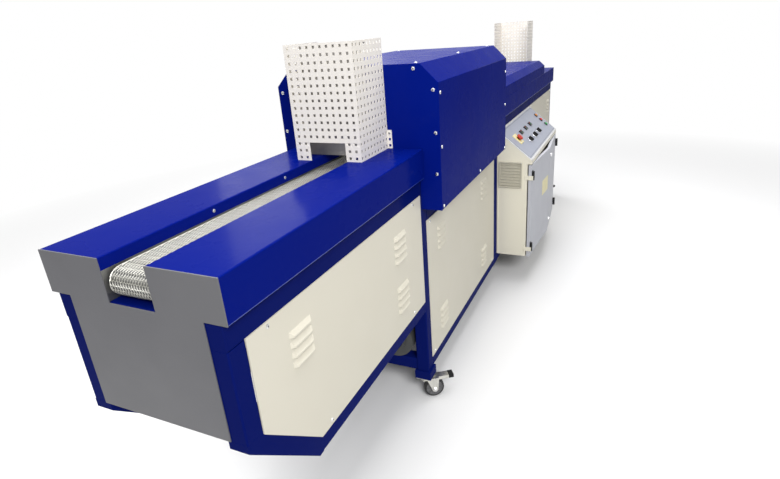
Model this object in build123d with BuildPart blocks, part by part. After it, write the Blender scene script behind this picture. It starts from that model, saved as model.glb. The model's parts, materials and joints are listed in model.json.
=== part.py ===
from build123d import *
import os
from math import atan2, cos, radians, sin, sqrt

# Conveyor belt furnace. A slim wire belt carries goods in under a perforated guard, through a heated
# hood and a low cooling cover, and out under a second guard. X runs along the belt from entry to
# exit, the operator stands on the -Y side, and the floor is Z = 0. Sizes are in millimetres.

# Overall sizes
overall_length = 3750
entry_length = 965
central_length = 1027
frame_width = 440
table_height = 1000

# Welded frame of square tube
tube = 50
tube_corner = 3
top_rail_height = 60
mid_rail_height = 60
mid_rail_gap = 48
foot_block_height = 35
module_gap = 1
entry_depth = 600
brace_height = 206
brace_run = 221

# Folded sheet covers of the table, and the trough between them
sheet = 2
bend_radius = 3
cover_overhang = 17
skirt_return = 37
lip_depth = 28

# Belt, its bed and its end rollers
belt_width = 118
belt_thickness = 4
belt_drop = 30
belt_side_gap = 4
belt_end_gap = 8
belt_rail_gap = 3
roller_diameter = 55.4
roller_seat = 0.3
shaft_diameter = 15
bed_wall = 3
bed_web_end_gap = 78
bed_cover_gap = 2
lip_clearance = 1
belt_slot_clearance = 3

# Side and end panels
panel_thickness = 3
panel_lap = 10
frame_lap = 2
top_lap = 3
rail_lap = 4
base_lap = 5
panel_joint_gap = 11

# Pressed louvres
louvre_length = 84
louvre_height = 15
louvre_depth = 8
louvre_taper = 9
louvre_crest = 4
louvre_wall = 1.2
louvre_pitch = 25
louvre_count = 4
entry_louvre_start = 219
entry_louvre_stop = 194
base_louvre_start = 185
base_louvre_stop = 244
exit_louvre_stop = 160
louvre_drop = 63
louvre_second_drop = 235
louvre_base_drop = 59
louvre_foot = 157

# Heated hood
hood_offset = 4
hood_length = 913
hood_width = 590
hood_drop = 206
hood_rise = 263
hood_chamfer = 58
hood_return = 25
hood_slot_clearance = 1
tunnel_height = 57
tunnel_rise = 200
tunnel_width = 360
tunnel_end_gap = 12
tunnel_side_clearance = 4

# Cooling cover on the exit table
cooling_length = 1430
cooling_height = 85
cooling_chamfer_width = 36
cooling_chamfer_height = 32

# Perforated guards
guard_length = 195
guard_width = 227
guard_height = 343
guard_flange_width = 16
guard_flange_height = 60

# Casters
foot_block_size = 64
caster_plate_size = 60
wheel_diameter = 80
wheel_width = 28
hub_width = 34
hub_radius = 11
web_width = 16
tyre_thickness = 9
tyre_shoulder = 4
axle_diameter = 10
axle_clearance = 0.3
caster_trail = 30
caster_headings = {"entry_front": -55, "entry_rear": 62, "exit_front": -118, "exit_rear": 125}
caster_plate_thickness = 3
swivel_diameter = 46
swivel_clearance = 0.5
swivel_race = 6
fork_crown_gap = 6
fork_crown_thickness = 4.5
fork_leg = 3
fork_side_gap = 3
fork_leg_width = 34
fork_foot_radius = 12
axle_end = 4
brake_length = 60
brake_width = 30
brake_fold = 9
brake_sheet = 2.5
caster_inset = 25

# Control cabinet on the operator side
cabinet_offset = 1075
cabinet_width = 815
cabinet_depth = 171.5
cabinet_lap = 4
cabinet_foot_gap = 41
console_rise = 143.5
cabinet_wall = 2
cabinet_lip = 21.5
door_thickness = 16
door_gap = 5
door_edge_gap = 1
door_sheet = 2
ajar_angle = 4
hinge_height = 46
hinge_diameter = 14
hinge_gap = 0.5
hinge_inset = 8
hinge_leaf = 22
bracket_reach = 12
bracket_thickness = 2.5
upper_hinge_drop = 54
lower_hinge_rise = 55
lock_diameter = 22
lock_height = 7
lock_inset = 58
console_thickness = 3
grille_width = 118
grille_height = 136
grille_thickness = 8
grille_rim = 7
grille_back = 2
grille_fins = 8
grille_fin_height = 3
grille_rear_gap = 6
grille_drop = 126

# Controls on the console, measured from its left edge and up its slope
stop_place = (120, 125)
stop_plate_size = 64
stop_plate_thickness = 3
stop_diameter = 36
stop_height = 14
stop_crown = 4.5
stop_stem_diameter = 20
stop_travel = 6
stop_gap = 1
stop_clearance = 0.3
display_columns = (252, 372, 493)
display_row = 139
display_width = 44
display_height = 26
display_thickness = 5
knob_columns = (259, 383, 501)
knob_row = 76
knob_diameter = 30
knob_height = 14
knob_bezel_diameter = 34
knob_bezel_height = 3
knob_clearance = 0.5
knob_grip_width = 9
lamp_column = 738
lamp_rows = (151, 111, 70)
lamp_diameter = 22
lamp_height = 12

# Small blower inside the base, behind the first posts
blower_diameter = 150
blower_width = 60
blower_offset = 85
blower_outlet_reach = 90
blower_inlet_diameter = 74
blower_inlet_depth = 22
blower_rim = 8
blower_rim_reach = 10
impeller_diameter = 30

# Places along the machine, worked out from the sizes above
entry_end = -overall_length / 2
exit_end = overall_length / 2
frame_start = entry_end + panel_thickness
frame_stop = exit_end - panel_thickness
joint = entry_end + entry_length
exit_joint = joint + central_length
hood_entry = joint + hood_offset
hood_exit = hood_entry + hood_length
cooling_exit = hood_exit + cooling_length
cabinet_left = joint + cabinet_offset
cabinet_right = cabinet_left + cabinet_width

# Places across the machine: the belt runs in the middle of the frame
leaf_width = (cabinet_width - door_gap) / 2 - door_edge_gap
door_reach = leaf_width * sin(radians(ajar_angle))
front_reach = frame_width / 2 + panel_thickness + cabinet_depth + door_reach
rear_reach = hood_width / 2
belt_y = (front_reach - rear_reach) / 2
front = belt_y - frame_width / 2
rear = belt_y + frame_width / 2
table_width = frame_width + 2 * cover_overhang
trough_width = belt_width + 2 * belt_side_gap
bed_half = trough_width / 2 + sheet + lip_clearance + bed_wall
cabinet_back = front - panel_thickness
cabinet_front = cabinet_back - cabinet_depth
cabinet_face = cabinet_front + door_thickness + door_gap
hinge_y = cabinet_front - hinge_diameter / 2

# Heights from the table top down to the rails: the belt's lower strand clears the cross rails
belt_top = table_height - belt_drop
bed_web_top = belt_top - belt_thickness
roller_radius = roller_diameter / 2
loop_radius = roller_radius + roller_seat + belt_thickness
loop_bottom = belt_top - 2 * loop_radius
rail_top = loop_bottom - belt_rail_gap
skirt_bottom = rail_top
skirt_height = table_height - skirt_bottom
top_rail_bottom = rail_top - top_rail_height
mid_rail_bottom = top_rail_bottom - mid_rail_gap - mid_rail_height
post_top = top_rail_bottom
entry_bottom = table_height - entry_depth
entry_post_foot = entry_bottom + brace_height
tunnel_mouth_top = table_height + tunnel_height
tunnel_top = table_height + tunnel_rise
hood_bottom = table_height - hood_drop
hood_top = table_height + hood_rise

# Heights from the floor up: a wheel, its fork, a plate and a foot block carry the lowest rails
fork_crown_height = wheel_diameter + fork_crown_gap
fork_top = fork_crown_height + fork_crown_thickness
caster_height = fork_top + swivel_race + swivel_clearance + caster_plate_thickness
fork_gap = hub_width + 2 * fork_side_gap
rim_radius = wheel_diameter / 2 - tyre_thickness
rail_bottom = caster_height + foot_block_height

# Edges of the panels on the rails, and the slant of the brace
entry_panel_top = top_rail_bottom + top_lap
entry_panel_bottom = entry_bottom + tube - rail_lap
base_panel_top = mid_rail_bottom + rail_lap
base_panel_bottom = rail_bottom + tube - base_lap
brace_angle = atan2(brace_height, brace_run)
brace_slope = brace_height / brace_run
brace_rise = tube / cos(brace_angle)
brace_shoulder = entry_post_foot + brace_rise - brace_slope * tube
brace_toe = frame_start + (brace_height + brace_rise - tube) / brace_slope

# Heights of the cabinet, its doors and its sloping console
cabinet_rear_height = top_rail_bottom + cabinet_lap
cabinet_front_height = cabinet_rear_height - console_rise
cabinet_bottom = rail_bottom + cabinet_foot_gap
console_slope = atan2(console_rise, cabinet_depth)
console_drop = console_thickness / cos(console_slope)
lip_bottom = cabinet_front_height - cabinet_lip
door_bottom = cabinet_bottom
door_top = lip_bottom - door_gap
upper_hinge_z = door_top - upper_hinge_drop
lower_hinge_z = door_bottom + lower_hinge_rise
grille_bottom = lip_bottom - grille_drop

os.makedirs("parts", exist_ok=True)


def save(piece, name):
    """Label a finished piece and write it under its own name."""
    piece.part.label = name
    export_step(piece.part, f"parts/{name}.step")


def bar(x_range, y_range, z_range):
    """One straight block between two values along each axis."""
    centre = [(low + high) / 2 for low, high in (x_range, y_range, z_range)]
    size = [high - low for low, high in (x_range, y_range, z_range)]
    with Locations(tuple(centre)):
        Box(*size)


def side_bars(x_range, z_range):
    """The same tube in the front and in the rear side of the frame."""
    bar(x_range, (front, front + tube), z_range)
    bar(x_range, (rear - tube, rear), z_range)


def folded_sheet(points):
    """A sheet profile that follows a line of points, with a round bend at each corner."""
    with BuildLine() as middle:
        FilletPolyline(*points, radius=bend_radius)
    trace(middle.line, line_width=sheet)


# Posts of the three frame modules
with BuildPart() as posts:
    side_bars((frame_start, frame_start + tube), (brace_shoulder, post_top))
    side_bars((joint, joint + tube), (rail_bottom, post_top))
    side_bars((exit_joint - tube - module_gap, exit_joint - module_gap), (rail_bottom, post_top))
    side_bars((exit_joint, exit_joint + tube), (rail_bottom, post_top))
    side_bars((frame_stop - tube, frame_stop), (rail_bottom, post_top))
    chamfer(posts.edges().filter_by(Axis.Z), tube_corner)
save(posts, "posts")

# Rails that run along the machine
with BuildPart() as side_rails:
    side_bars((frame_start, joint - module_gap), (top_rail_bottom, rail_top))
    side_bars((joint, exit_joint - module_gap), (top_rail_bottom, rail_top))
    side_bars((exit_joint, frame_stop), (top_rail_bottom, rail_top))
    side_bars((brace_toe, joint), (entry_bottom, entry_bottom + tube))
    base_start, base_end = joint + tube, exit_joint - tube - module_gap
    side_bars((base_start, base_end), (rail_bottom, rail_bottom + tube))
    side_bars((base_start, base_end), (mid_rail_bottom, mid_rail_bottom + mid_rail_height))
    side_bars((exit_joint + tube, frame_stop - tube), (rail_bottom, rail_bottom + tube))
    chamfer(side_rails.edges().filter_by(Axis.X), tube_corner)
save(side_rails, "side_rails")

# Rails that run across, between the two sides
with BuildPart() as cross_rails:
    across = (front + tube, rear - tube)
    middle_of_base = (joint + exit_joint) / 2
    middle_of_exit = (exit_joint + frame_stop) / 2
    low = (rail_bottom, rail_bottom + tube)
    high = (top_rail_bottom, rail_top)
    pairs = (joint, exit_joint - tube - module_gap, exit_joint, frame_stop - tube)
    for start in pairs:
        bar((start, start + tube), across, low)
    between = (middle_of_base - tube / 2, middle_of_exit - tube / 2)
    for start in (frame_start, joint - tube - module_gap, *pairs, *between):
        bar((start, start + tube), across, high)
    bar((brace_toe, brace_toe + tube), across, (entry_bottom, entry_bottom + tube))
    chamfer(cross_rails.edges().filter_by(Axis.Y), tube_corner)
save(cross_rails, "cross_rails")

# Slanting braces under the cantilevered entry table
with BuildPart() as entry_braces:
    for y in (front + tube, rear):
        with BuildSketch(Plane.XZ.offset(-y)):
            with BuildLine():
                Polyline(
                    (frame_start, entry_post_foot),
                    (frame_start + brace_run, entry_bottom),
                    (brace_toe, entry_bottom),
                    (brace_toe, entry_bottom + tube),
                    (frame_start + tube, brace_shoulder),
                    (frame_start, brace_shoulder),
                    close=True,
                )
            make_face()
        extrude(amount=tube)
save(entry_braces, "entry_braces")


def table_cover(side, x_start, x_end):
    """Folded cover of one side of the table: skirt, flat top and lip down into the trough."""
    outer = table_width / 2 - sheet / 2
    inner = trough_width / 2 + sheet / 2
    top = table_height - sheet / 2
    low = skirt_bottom + sheet / 2
    with BuildSketch(Plane.YZ.offset(x_start)) as section:
        folded_sheet([
            (belt_y + side * (outer - skirt_return), low),
            (belt_y + side * outer, low),
            (belt_y + side * outer, top),
            (belt_y + side * inner, top),
            (belt_y + side * inner, table_height - lip_depth),
        ])
    extrude(section.sketch, amount=x_end - x_start)


with BuildPart() as entry_covers:
    table_cover(-1, frame_start, joint)
    table_cover(1, frame_start, joint)
save(entry_covers, "entry_covers")

with BuildPart() as exit_covers:
    table_cover(-1, hood_exit, frame_stop)
    table_cover(1, hood_exit, frame_stop)
save(exit_covers, "exit_covers")

# Channel that carries the belt, with a slide plate under the upper strand
with BuildPart() as belt_bed:
    along = (frame_start, frame_stop)
    wall_z = (rail_top, table_height - sheet - bed_cover_gap)
    bar(along, (belt_y - bed_half, belt_y - bed_half + bed_wall), wall_z)
    bar(along, (belt_y + bed_half - bed_wall, belt_y + bed_half), wall_z)
    web = (entry_end + bed_web_end_gap, exit_end - bed_web_end_gap)
    bar(web, (belt_y - bed_half, belt_y + bed_half), (bed_web_top - bed_wall, bed_web_top))
save(belt_bed, "belt_bed")

# Woven wire belt, one endless loop round the end rollers
with BuildPart() as mesh_belt:
    loop_length = overall_length - 2 * belt_end_gap
    with BuildSketch(Plane.XZ.offset(-belt_y)):
        with Locations((0, belt_top - loop_radius)):
            SlotOverall(loop_length, 2 * loop_radius)
            SlotOverall(
                loop_length - 2 * belt_thickness,
                2 * (loop_radius - belt_thickness),
                mode=Mode.SUBTRACT,
            )
    extrude(amount=belt_width / 2, both=True)
save(mesh_belt, "mesh_belt")

# End rollers, each with its shaft held between the channel walls
with BuildPart() as end_rollers:
    roller_x = overall_length / 2 - belt_end_gap - loop_radius
    for x in (-roller_x, roller_x):
        with BuildSketch(Plane.XZ.offset(-belt_y)):
            with Locations((x, belt_top - loop_radius)):
                Circle(roller_radius)
        extrude(amount=belt_width / 2, both=True)
        with BuildSketch(Plane.XZ.offset(-belt_y)):
            with Locations((x, belt_top - loop_radius)):
                Circle(shaft_diameter / 2)
        extrude(amount=bed_half - bed_wall - roller_seat, both=True)
save(end_rollers, "end_rollers")


def louvre_form(wall):
    """A louvre's flat-sided form, made smaller all round by a wall: nothing for its outside."""
    crest_z = louvre_depth - wall
    foot, shoulder = louvre_length / 2 - wall, louvre_length / 2 - wall - louvre_taper
    with BuildPart() as form:
        with BuildSketch(Plane.YZ) as slope:
            with BuildLine():
                Polyline((0, 0), (louvre_height - wall, 0), (louvre_crest - wall, crest_z), (0, crest_z),
                         close=True)
            make_face()
        extrude(slope.sketch, amount=louvre_length / 2, both=True)
        with BuildSketch(Plane.XZ) as ends:
            with BuildLine():
                Polyline((-foot, 0), (foot, 0), (shoulder, crest_z), (-shoulder, crest_z), close=True)
            make_face()
        extrude(ends.sketch, amount=-louvre_height, mode=Mode.INTERSECT)
    return form.part


# One pressed louvre: a thin hood that leans out of its sheet and opens downwards
louvre_mouth = (louvre_length - 2 * louvre_wall, louvre_height - louvre_wall)
louvre_outside = louvre_form(0)
louvre_hollow = louvre_form(louvre_wall)
with BuildPart() as louvre:
    add(louvre_outside)
    add(louvre_hollow, mode=Mode.SUBTRACT)


def panel(outline, side, groups):
    """One side panel with its louvres, on the front (-1) or the rear (1) of the frame."""
    face_y = belt_y + side * frame_width / 2
    with BuildSketch(Plane.XZ.offset(-face_y)) as shape:
        with BuildLine():
            Polyline(*outline, close=True)
        make_face()
    extrude(shape.sketch, amount=-side * panel_thickness)
    mouths = [
        Plane(origin=(centre_x, face_y + side * panel_thickness, top_z - row * louvre_pitch - louvre_height),
              x_dir=(-side, 0, 0), z_dir=(0, side, 0))
        for centre_x, top_z in groups
        for row in range(louvre_count)
    ]
    with BuildSketch(*mouths) as slots:
        Rectangle(*louvre_mouth, align=(Align.CENTER, Align.MIN))
    extrude(slots.sketch, amount=-panel_thickness, mode=Mode.SUBTRACT)
    with Locations(*mouths):
        add(louvre.part)


entry_outline = (
    (frame_start + tube - frame_lap, entry_panel_top),
    (joint - panel_joint_gap, entry_panel_top),
    (joint - panel_joint_gap, entry_panel_bottom),
    (brace_toe - frame_lap, entry_panel_bottom),
    (frame_start + tube - frame_lap, brace_shoulder - panel_lap),
)
base_outline = (
    (joint + tube - panel_lap, base_panel_top),
    (exit_joint - tube + panel_lap, base_panel_top),
    (exit_joint - tube + panel_lap, base_panel_bottom),
    (joint + tube - panel_lap, base_panel_bottom),
)
exit_outline = (
    (exit_joint + tube - panel_lap, entry_panel_top),
    (frame_stop - tube + panel_lap, entry_panel_top),
    (frame_stop - tube + panel_lap, base_panel_bottom),
    (exit_joint + tube - panel_lap, base_panel_bottom),
)
upper_louvres = entry_panel_top - louvre_drop
second_louvres = entry_panel_top - louvre_second_drop
base_louvres_top = base_panel_top - louvre_base_drop
lower_louvres = base_panel_bottom + louvre_foot
entry_louvres = (
    (entry_end + entry_louvre_start, upper_louvres),
    (joint - entry_louvre_stop, upper_louvres),
    (joint - entry_louvre_stop, second_louvres),
)
base_louvres = (
    (joint + base_louvre_start, base_louvres_top),
    (joint + base_louvre_start, lower_louvres),
    (exit_joint - base_louvre_stop, base_louvres_top),
    (exit_joint - base_louvre_stop, lower_louvres),
)
exit_louvres = (
    (exit_end - exit_louvre_stop, upper_louvres),
    (exit_end - exit_louvre_stop, lower_louvres),
)

with BuildPart() as front_panels:
    panel(entry_outline, -1, entry_louvres)
    panel(base_outline, -1, base_louvres)
    panel(exit_outline, -1, exit_louvres)
save(front_panels, "front_panels")

with BuildPart() as rear_panels:
    panel(entry_outline, 1, entry_louvres)
    panel(base_outline, 1, base_louvres)
    panel(exit_outline, 1, exit_louvres)
save(rear_panels, "rear_panels")

# End plates, cut open for the belt
with BuildPart() as end_plates:
    for plane, foot in (
        (Plane.YZ.offset(entry_end), brace_shoulder),
        (Plane.YZ.offset(frame_stop), rail_bottom + tube - panel_lap),
    ):
        with BuildSketch(plane):
            with Locations((belt_y, table_height)):
                Rectangle(table_width, skirt_height, align=(Align.CENTER, Align.MAX))
            with Locations((belt_y, foot)):
                Rectangle(frame_width - 2 * tube + 2 * panel_lap, skirt_bottom - foot,
                          align=(Align.CENTER, Align.MIN))
            with Locations((belt_y, table_height)):
                Rectangle(trough_width, table_height - loop_bottom + belt_slot_clearance,
                          align=(Align.CENTER, Align.MAX), mode=Mode.SUBTRACT)
        extrude(amount=panel_thickness)
save(end_plates, "end_plates")


def hood_outline(inset):
    """Corner points of the hood's section, from one lower corner over the top to the other."""
    half = hood_width / 2 - inset
    cut = hood_chamfer - inset * (2 - sqrt(2))
    top = hood_top - inset
    return [
        (belt_y - half, hood_bottom + inset),
        (belt_y - half, top - cut),
        (belt_y - half + cut, top),
        (belt_y + half - cut, top),
        (belt_y + half, top - cut),
        (belt_y + half, hood_bottom + inset),
    ]


# Hood over the heated zone: one folded sheet with its lower edges turned inwards
with BuildPart() as hood:
    with BuildSketch(Plane.YZ.offset(hood_entry + sheet)):
        outline = hood_outline(sheet / 2)
        left_lip = (outline[0][0] + hood_return, outline[0][1])
        right_lip = (outline[-1][0] - hood_return, outline[-1][1])
        folded_sheet([left_lip, *outline, right_lip])
    extrude(amount=hood_length - 2 * sheet)
save(hood, "hood")

# End plates of the hood: they stand on the top rails, cut out for the belt channel and tunnel mouth
with BuildPart() as hood_end_plates:
    for x in (hood_entry, hood_exit - sheet):
        with BuildSketch(Plane.YZ.offset(x)):
            with BuildLine():
                Polyline(*hood_outline(0), close=True)
            make_face()
            with Locations((belt_y, hood_bottom)):
                Rectangle(frame_width + 2 * hood_slot_clearance, rail_top - hood_bottom,
                          align=(Align.CENTER, Align.MIN), mode=Mode.SUBTRACT)
            with Locations((belt_y, rail_top)):
                Rectangle(2 * (bed_half + hood_slot_clearance), table_height - rail_top,
                          align=(Align.CENTER, Align.MIN), mode=Mode.SUBTRACT)
                Rectangle(trough_width, tunnel_mouth_top - rail_top,
                          align=(Align.CENTER, Align.MIN), mode=Mode.SUBTRACT)
        extrude(amount=sheet)
save(hood_end_plates, "hood_end_plates")

# Insulated tunnel that stands over the belt inside the hood
with BuildPart() as heating_tunnel:
    with BuildSketch(Plane.YZ.offset(hood_entry + tunnel_end_gap)):
        with Locations((belt_y, rail_top)):
            Rectangle(tunnel_width, tunnel_top - rail_top, align=(Align.CENTER, Align.MIN))
            Rectangle(2 * bed_half + 2 * tunnel_side_clearance, tunnel_mouth_top - rail_top,
                      align=(Align.CENTER, Align.MIN), mode=Mode.SUBTRACT)
    extrude(amount=hood_length - 2 * tunnel_end_gap)
save(heating_tunnel, "heating_tunnel")

# Low cooling cover on the exit table, with a plate at each end
with BuildPart() as cooling_cover:
    half = table_width / 2 - sheet / 2
    top = table_height + cooling_height - sheet / 2
    shoulder = top - cooling_chamfer_height
    with BuildSketch(Plane.YZ.offset(hood_exit)):
        folded_sheet([
            (belt_y - half, table_height),
            (belt_y - half, shoulder),
            (belt_y - half + cooling_chamfer_width, top),
            (belt_y + half - cooling_chamfer_width, top),
            (belt_y + half, shoulder),
            (belt_y + half, table_height),
        ])
    extrude(amount=cooling_length - sheet)
    with BuildSketch(Plane.YZ.offset(cooling_exit - sheet)):
        with BuildLine():
            Polyline(
                (belt_y - half - sheet / 2, table_height),
                (belt_y - half - sheet / 2, shoulder),
                (belt_y - half + cooling_chamfer_width, top + sheet / 2),
                (belt_y + half - cooling_chamfer_width, top + sheet / 2),
                (belt_y + half + sheet / 2, shoulder),
                (belt_y + half + sheet / 2, table_height),
                close=True,
            )
        make_face()
        with Locations((belt_y, table_height)):
            Rectangle(trough_width, tunnel_height, align=(Align.CENTER, Align.MIN),
                      mode=Mode.SUBTRACT)
    extrude(amount=sheet)
save(cooling_cover, "cooling_cover")


def belt_guard(base_x, direction):
    """A tall open-topped guard on three sides of the belt, with a low mouth at its outer end."""
    outer_x = base_x + direction * guard_length
    outer_edge = guard_width / 2 - sheet / 2
    with BuildSketch(Plane.XY.offset(table_height)) as walls:
        with BuildLine() as middle:
            Polyline(
                (base_x, belt_y - outer_edge),
                (outer_x - direction * sheet / 2, belt_y - outer_edge),
                (outer_x - direction * sheet / 2, belt_y + outer_edge),
                (base_x, belt_y + outer_edge),
            )
        trace(middle.line, line_width=sheet)
    extrude(walls.sketch, amount=guard_height)
    with BuildSketch(Plane.YZ.offset(outer_x)) as mouth:
        with Locations((belt_y, table_height)):
            Rectangle(trough_width, tunnel_height, align=(Align.CENTER, Align.MIN))
    extrude(mouth.sketch, amount=-direction * sheet, mode=Mode.SUBTRACT)
    with BuildSketch(Plane.YZ.offset(base_x)) as flanges:
        for side in (-1, 1):
            with Locations((belt_y + side * (guard_width + guard_flange_width) / 2, table_height)):
                Rectangle(guard_flange_width, guard_flange_height, align=(Align.CENTER, Align.MIN))
    extrude(flanges.sketch, amount=direction * sheet)


with BuildPart() as belt_guards:
    belt_guard(hood_entry, -1)
    belt_guard(cooling_exit, 1)
save(belt_guards, "belt_guards")

# Small blower that stands on the first low cross rail: a scroll housing with a rimmed round inlet
with BuildPart() as blower:
    inlet_face = Plane.YZ.offset(joint + tube / 2 - blower_width / 2)
    hub = (front + tube + blower_offset, rail_bottom + tube + blower_diameter / 2)
    with BuildSketch(inlet_face):
        with Locations(hub):
            Circle(blower_diameter / 2)
            Rectangle(blower_outlet_reach, blower_diameter / 2, align=(Align.MIN, Align.MAX))
    extrude(amount=blower_width)
    with BuildSketch(inlet_face):
        with Locations(hub):
            Circle(blower_inlet_diameter / 2 + blower_rim)
    extrude(amount=-blower_rim_reach)
    with BuildSketch(inlet_face.offset(-blower_rim_reach)):
        with Locations(hub):
            Circle(blower_inlet_diameter / 2)
    extrude(amount=blower_rim_reach + blower_inlet_depth, mode=Mode.SUBTRACT)
    with BuildSketch(inlet_face):
        with Locations(hub):
            Circle(impeller_diameter / 2)
    extrude(amount=blower_inlet_depth)
save(blower, "blower")

# Casters: a block under each corner, a fixed plate, a swivelling fork and a wheel
caster_stations = {
    "entry_front": (joint + caster_inset, front + caster_inset),
    "entry_rear": (joint + caster_inset, rear - caster_inset),
    "exit_front": (exit_end - foot_block_size / 2, front + caster_inset),
    "exit_rear": (exit_end - foot_block_size / 2, rear - caster_inset),
}
with BuildPart() as foot_blocks:
    for x, y in caster_stations.values():
        with Locations((x, y, caster_height)):
            Box(foot_block_size, foot_block_size, rail_bottom - caster_height,
                align=(Align.CENTER, Align.CENTER, Align.MIN))
save(foot_blocks, "foot_blocks")

with BuildPart() as caster_plates:
    for x, y in caster_stations.values():
        with Locations((x, y, caster_height)):
            Box(caster_plate_size, caster_plate_size, caster_plate_thickness,
                align=(Align.CENTER, Align.CENTER, Align.MAX))
save(caster_plates, "caster_plates")

for place, (swivel_x, swivel_y) in caster_stations.items():
    heading = radians(caster_headings[place])
    forward = (cos(heading), sin(heading), 0)
    sideways = (sin(heading), -cos(heading), 0)
    wheel_x = swivel_x + caster_trail * forward[0]
    wheel_y = swivel_y + caster_trail * forward[1]
    hub = (wheel_x, wheel_y, wheel_diameter / 2)
    upright = Plane(origin=hub, x_dir=forward, z_dir=sideways)
    crown = Plane(origin=(swivel_x, swivel_y, fork_crown_height), x_dir=forward, z_dir=(0, 0, 1))
    with BuildPart() as fork:
        with BuildSketch(crown):
            with Locations((caster_trail / 2, 0)):
                Rectangle(caster_trail + fork_leg_width, fork_gap + 2 * fork_leg)
            Circle(swivel_diameter / 2)
        extrude(amount=fork_crown_thickness)
        with BuildSketch(crown.offset(fork_crown_thickness)):
            Circle(swivel_diameter / 2)
        extrude(amount=swivel_race)
        for side in (-1, 1):
            with BuildSketch(upright.offset(side * fork_gap / 2)):
                with BuildLine():
                    leg_top = fork_top - wheel_diameter / 2
                    Polyline(
                        (-fork_leg_width / 2 - caster_trail / 2, leg_top),
                        (fork_leg_width / 2, leg_top),
                        (fork_foot_radius, 0),
                        (-fork_foot_radius, 0),
                        close=True,
                    )
                make_face()
                Circle(fork_foot_radius)
            extrude(amount=side * fork_leg)
        with BuildSketch(upright):
            Circle(axle_diameter / 2)
        extrude(amount=fork_gap / 2 + fork_leg + axle_end, both=True)
        lever = Plane(origin=crown.from_local_coords((caster_trail + fork_leg_width / 2, 0, 0)),
                      x_dir=sideways, z_dir=forward)
        with BuildSketch(lever):
            Rectangle(brake_width, fork_crown_thickness, align=(Align.CENTER, Align.MAX))
            Rectangle(brake_width, brake_fold, align=(Align.CENTER, Align.MIN))
            Rectangle(brake_width - 2 * brake_sheet, brake_fold, align=(Align.CENTER, Align.MIN),
                      mode=Mode.SUBTRACT)
        extrude(amount=brake_length)
    save(fork, f"caster_fork_{place}")

    with BuildPart() as wheel:
        with BuildSketch(Plane(origin=hub, x_dir=(0, 0, 1), z_dir=forward)):
            with BuildLine():
                half_section = [
                    (axle_diameter / 2 + axle_clearance, hub_width / 2),
                    (hub_radius, hub_width / 2),
                    (hub_radius, web_width / 2),
                    (rim_radius, web_width / 2),
                    (rim_radius, wheel_width / 2),
                    (wheel_diameter / 2 - tyre_shoulder, wheel_width / 2),
                    (wheel_diameter / 2, wheel_width / 2 - tyre_shoulder),
                ]
                other_half = [(radius, -along) for radius, along in reversed(half_section)]
                Polyline(*half_section, *other_half, close=True)
            make_face()
        revolve(axis=Axis(hub, sideways))
    save(wheel, f"caster_wheel_{place}")

# Control cabinet: a shell with an open front, closed on top by the sloping console
with BuildPart() as control_cabinet:
    with BuildSketch(Plane.YZ.offset(cabinet_left)):
        with BuildLine():
            Polyline(
                (cabinet_back, cabinet_bottom),
                (cabinet_back, cabinet_rear_height - console_drop),
                (cabinet_front, cabinet_front_height - console_drop),
                (cabinet_front, lip_bottom),
                (cabinet_face, lip_bottom),
                (cabinet_face, cabinet_bottom),
                close=True,
            )
        make_face()
    extrude(amount=cabinet_width)
    with BuildSketch(Plane.YZ.offset(cabinet_left + cabinet_wall)):
        with BuildLine():
            Polyline(
                (cabinet_back - cabinet_wall, cabinet_bottom + cabinet_wall),
                (cabinet_back - cabinet_wall, cabinet_rear_height),
                (cabinet_face, cabinet_rear_height),
                (cabinet_face, cabinet_bottom + cabinet_wall),
                close=True,
            )
        make_face()
    extrude(amount=cabinet_width - 2 * cabinet_wall, mode=Mode.SUBTRACT)
save(control_cabinet, "control_cabinet")


def leaf_plane(direction, height):
    """Plane on a hinge axis: local X runs along the door leaf, local Y points into the cabinet."""
    angle = radians(ajar_angle)
    hinge_x = cabinet_left + hinge_inset if direction > 0 else cabinet_right - hinge_inset
    return Plane(
        origin=(hinge_x, hinge_y, height),
        x_dir=(direction * cos(angle), -sin(angle), 0),
        z_dir=(0, 0, direction),
    )


def door_leaf(direction, name):
    """A door leaf as a shallow pan, standing slightly open on its outer hinges."""
    near_edge = door_edge_gap - hinge_inset
    face = hinge_diameter / 2
    with BuildPart() as leaf:
        with BuildSketch(leaf_plane(direction, door_bottom)):
            with Locations((near_edge, face)):
                Rectangle(leaf_width, door_thickness, align=(Align.MIN, Align.MIN))
        extrude(amount=direction * (door_top - door_bottom))
        with BuildSketch(leaf_plane(direction, door_bottom + door_sheet)):
            with Locations((near_edge + door_sheet, face + door_sheet)):
                Rectangle(leaf_width - 2 * door_sheet, door_thickness, align=(Align.MIN, Align.MIN))
        extrude(amount=direction * (door_top - door_bottom - 2 * door_sheet), mode=Mode.SUBTRACT)
    save(leaf, f"{name}_door")

    with BuildPart() as barrels:
        for hinge_z in (upper_hinge_z, lower_hinge_z):
            with BuildSketch(leaf_plane(direction, hinge_z + hinge_gap / 2)):
                Circle(hinge_diameter / 2)
                with Locations((0, face)):
                    Rectangle(hinge_leaf, door_sheet, align=(Align.MIN, Align.MAX))
            extrude(amount=direction * (hinge_height - hinge_gap) / 2)
    save(barrels, f"{name}_door_hinges")


door_leaf(1, "left")
door_leaf(-1, "right")

# Lower halves of the hinges
with BuildPart() as hinge_barrels:
    for hinge_x in (cabinet_left + hinge_inset, cabinet_right - hinge_inset):
        for hinge_z in (upper_hinge_z, lower_hinge_z):
            with BuildSketch(Plane.XY.offset(hinge_z - hinge_height / 2)):
                with Locations((hinge_x, hinge_y)):
                    Circle(hinge_diameter / 2)
            extrude(amount=(hinge_height - hinge_gap) / 2)
save(hinge_barrels, "hinge_barrels")

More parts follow.
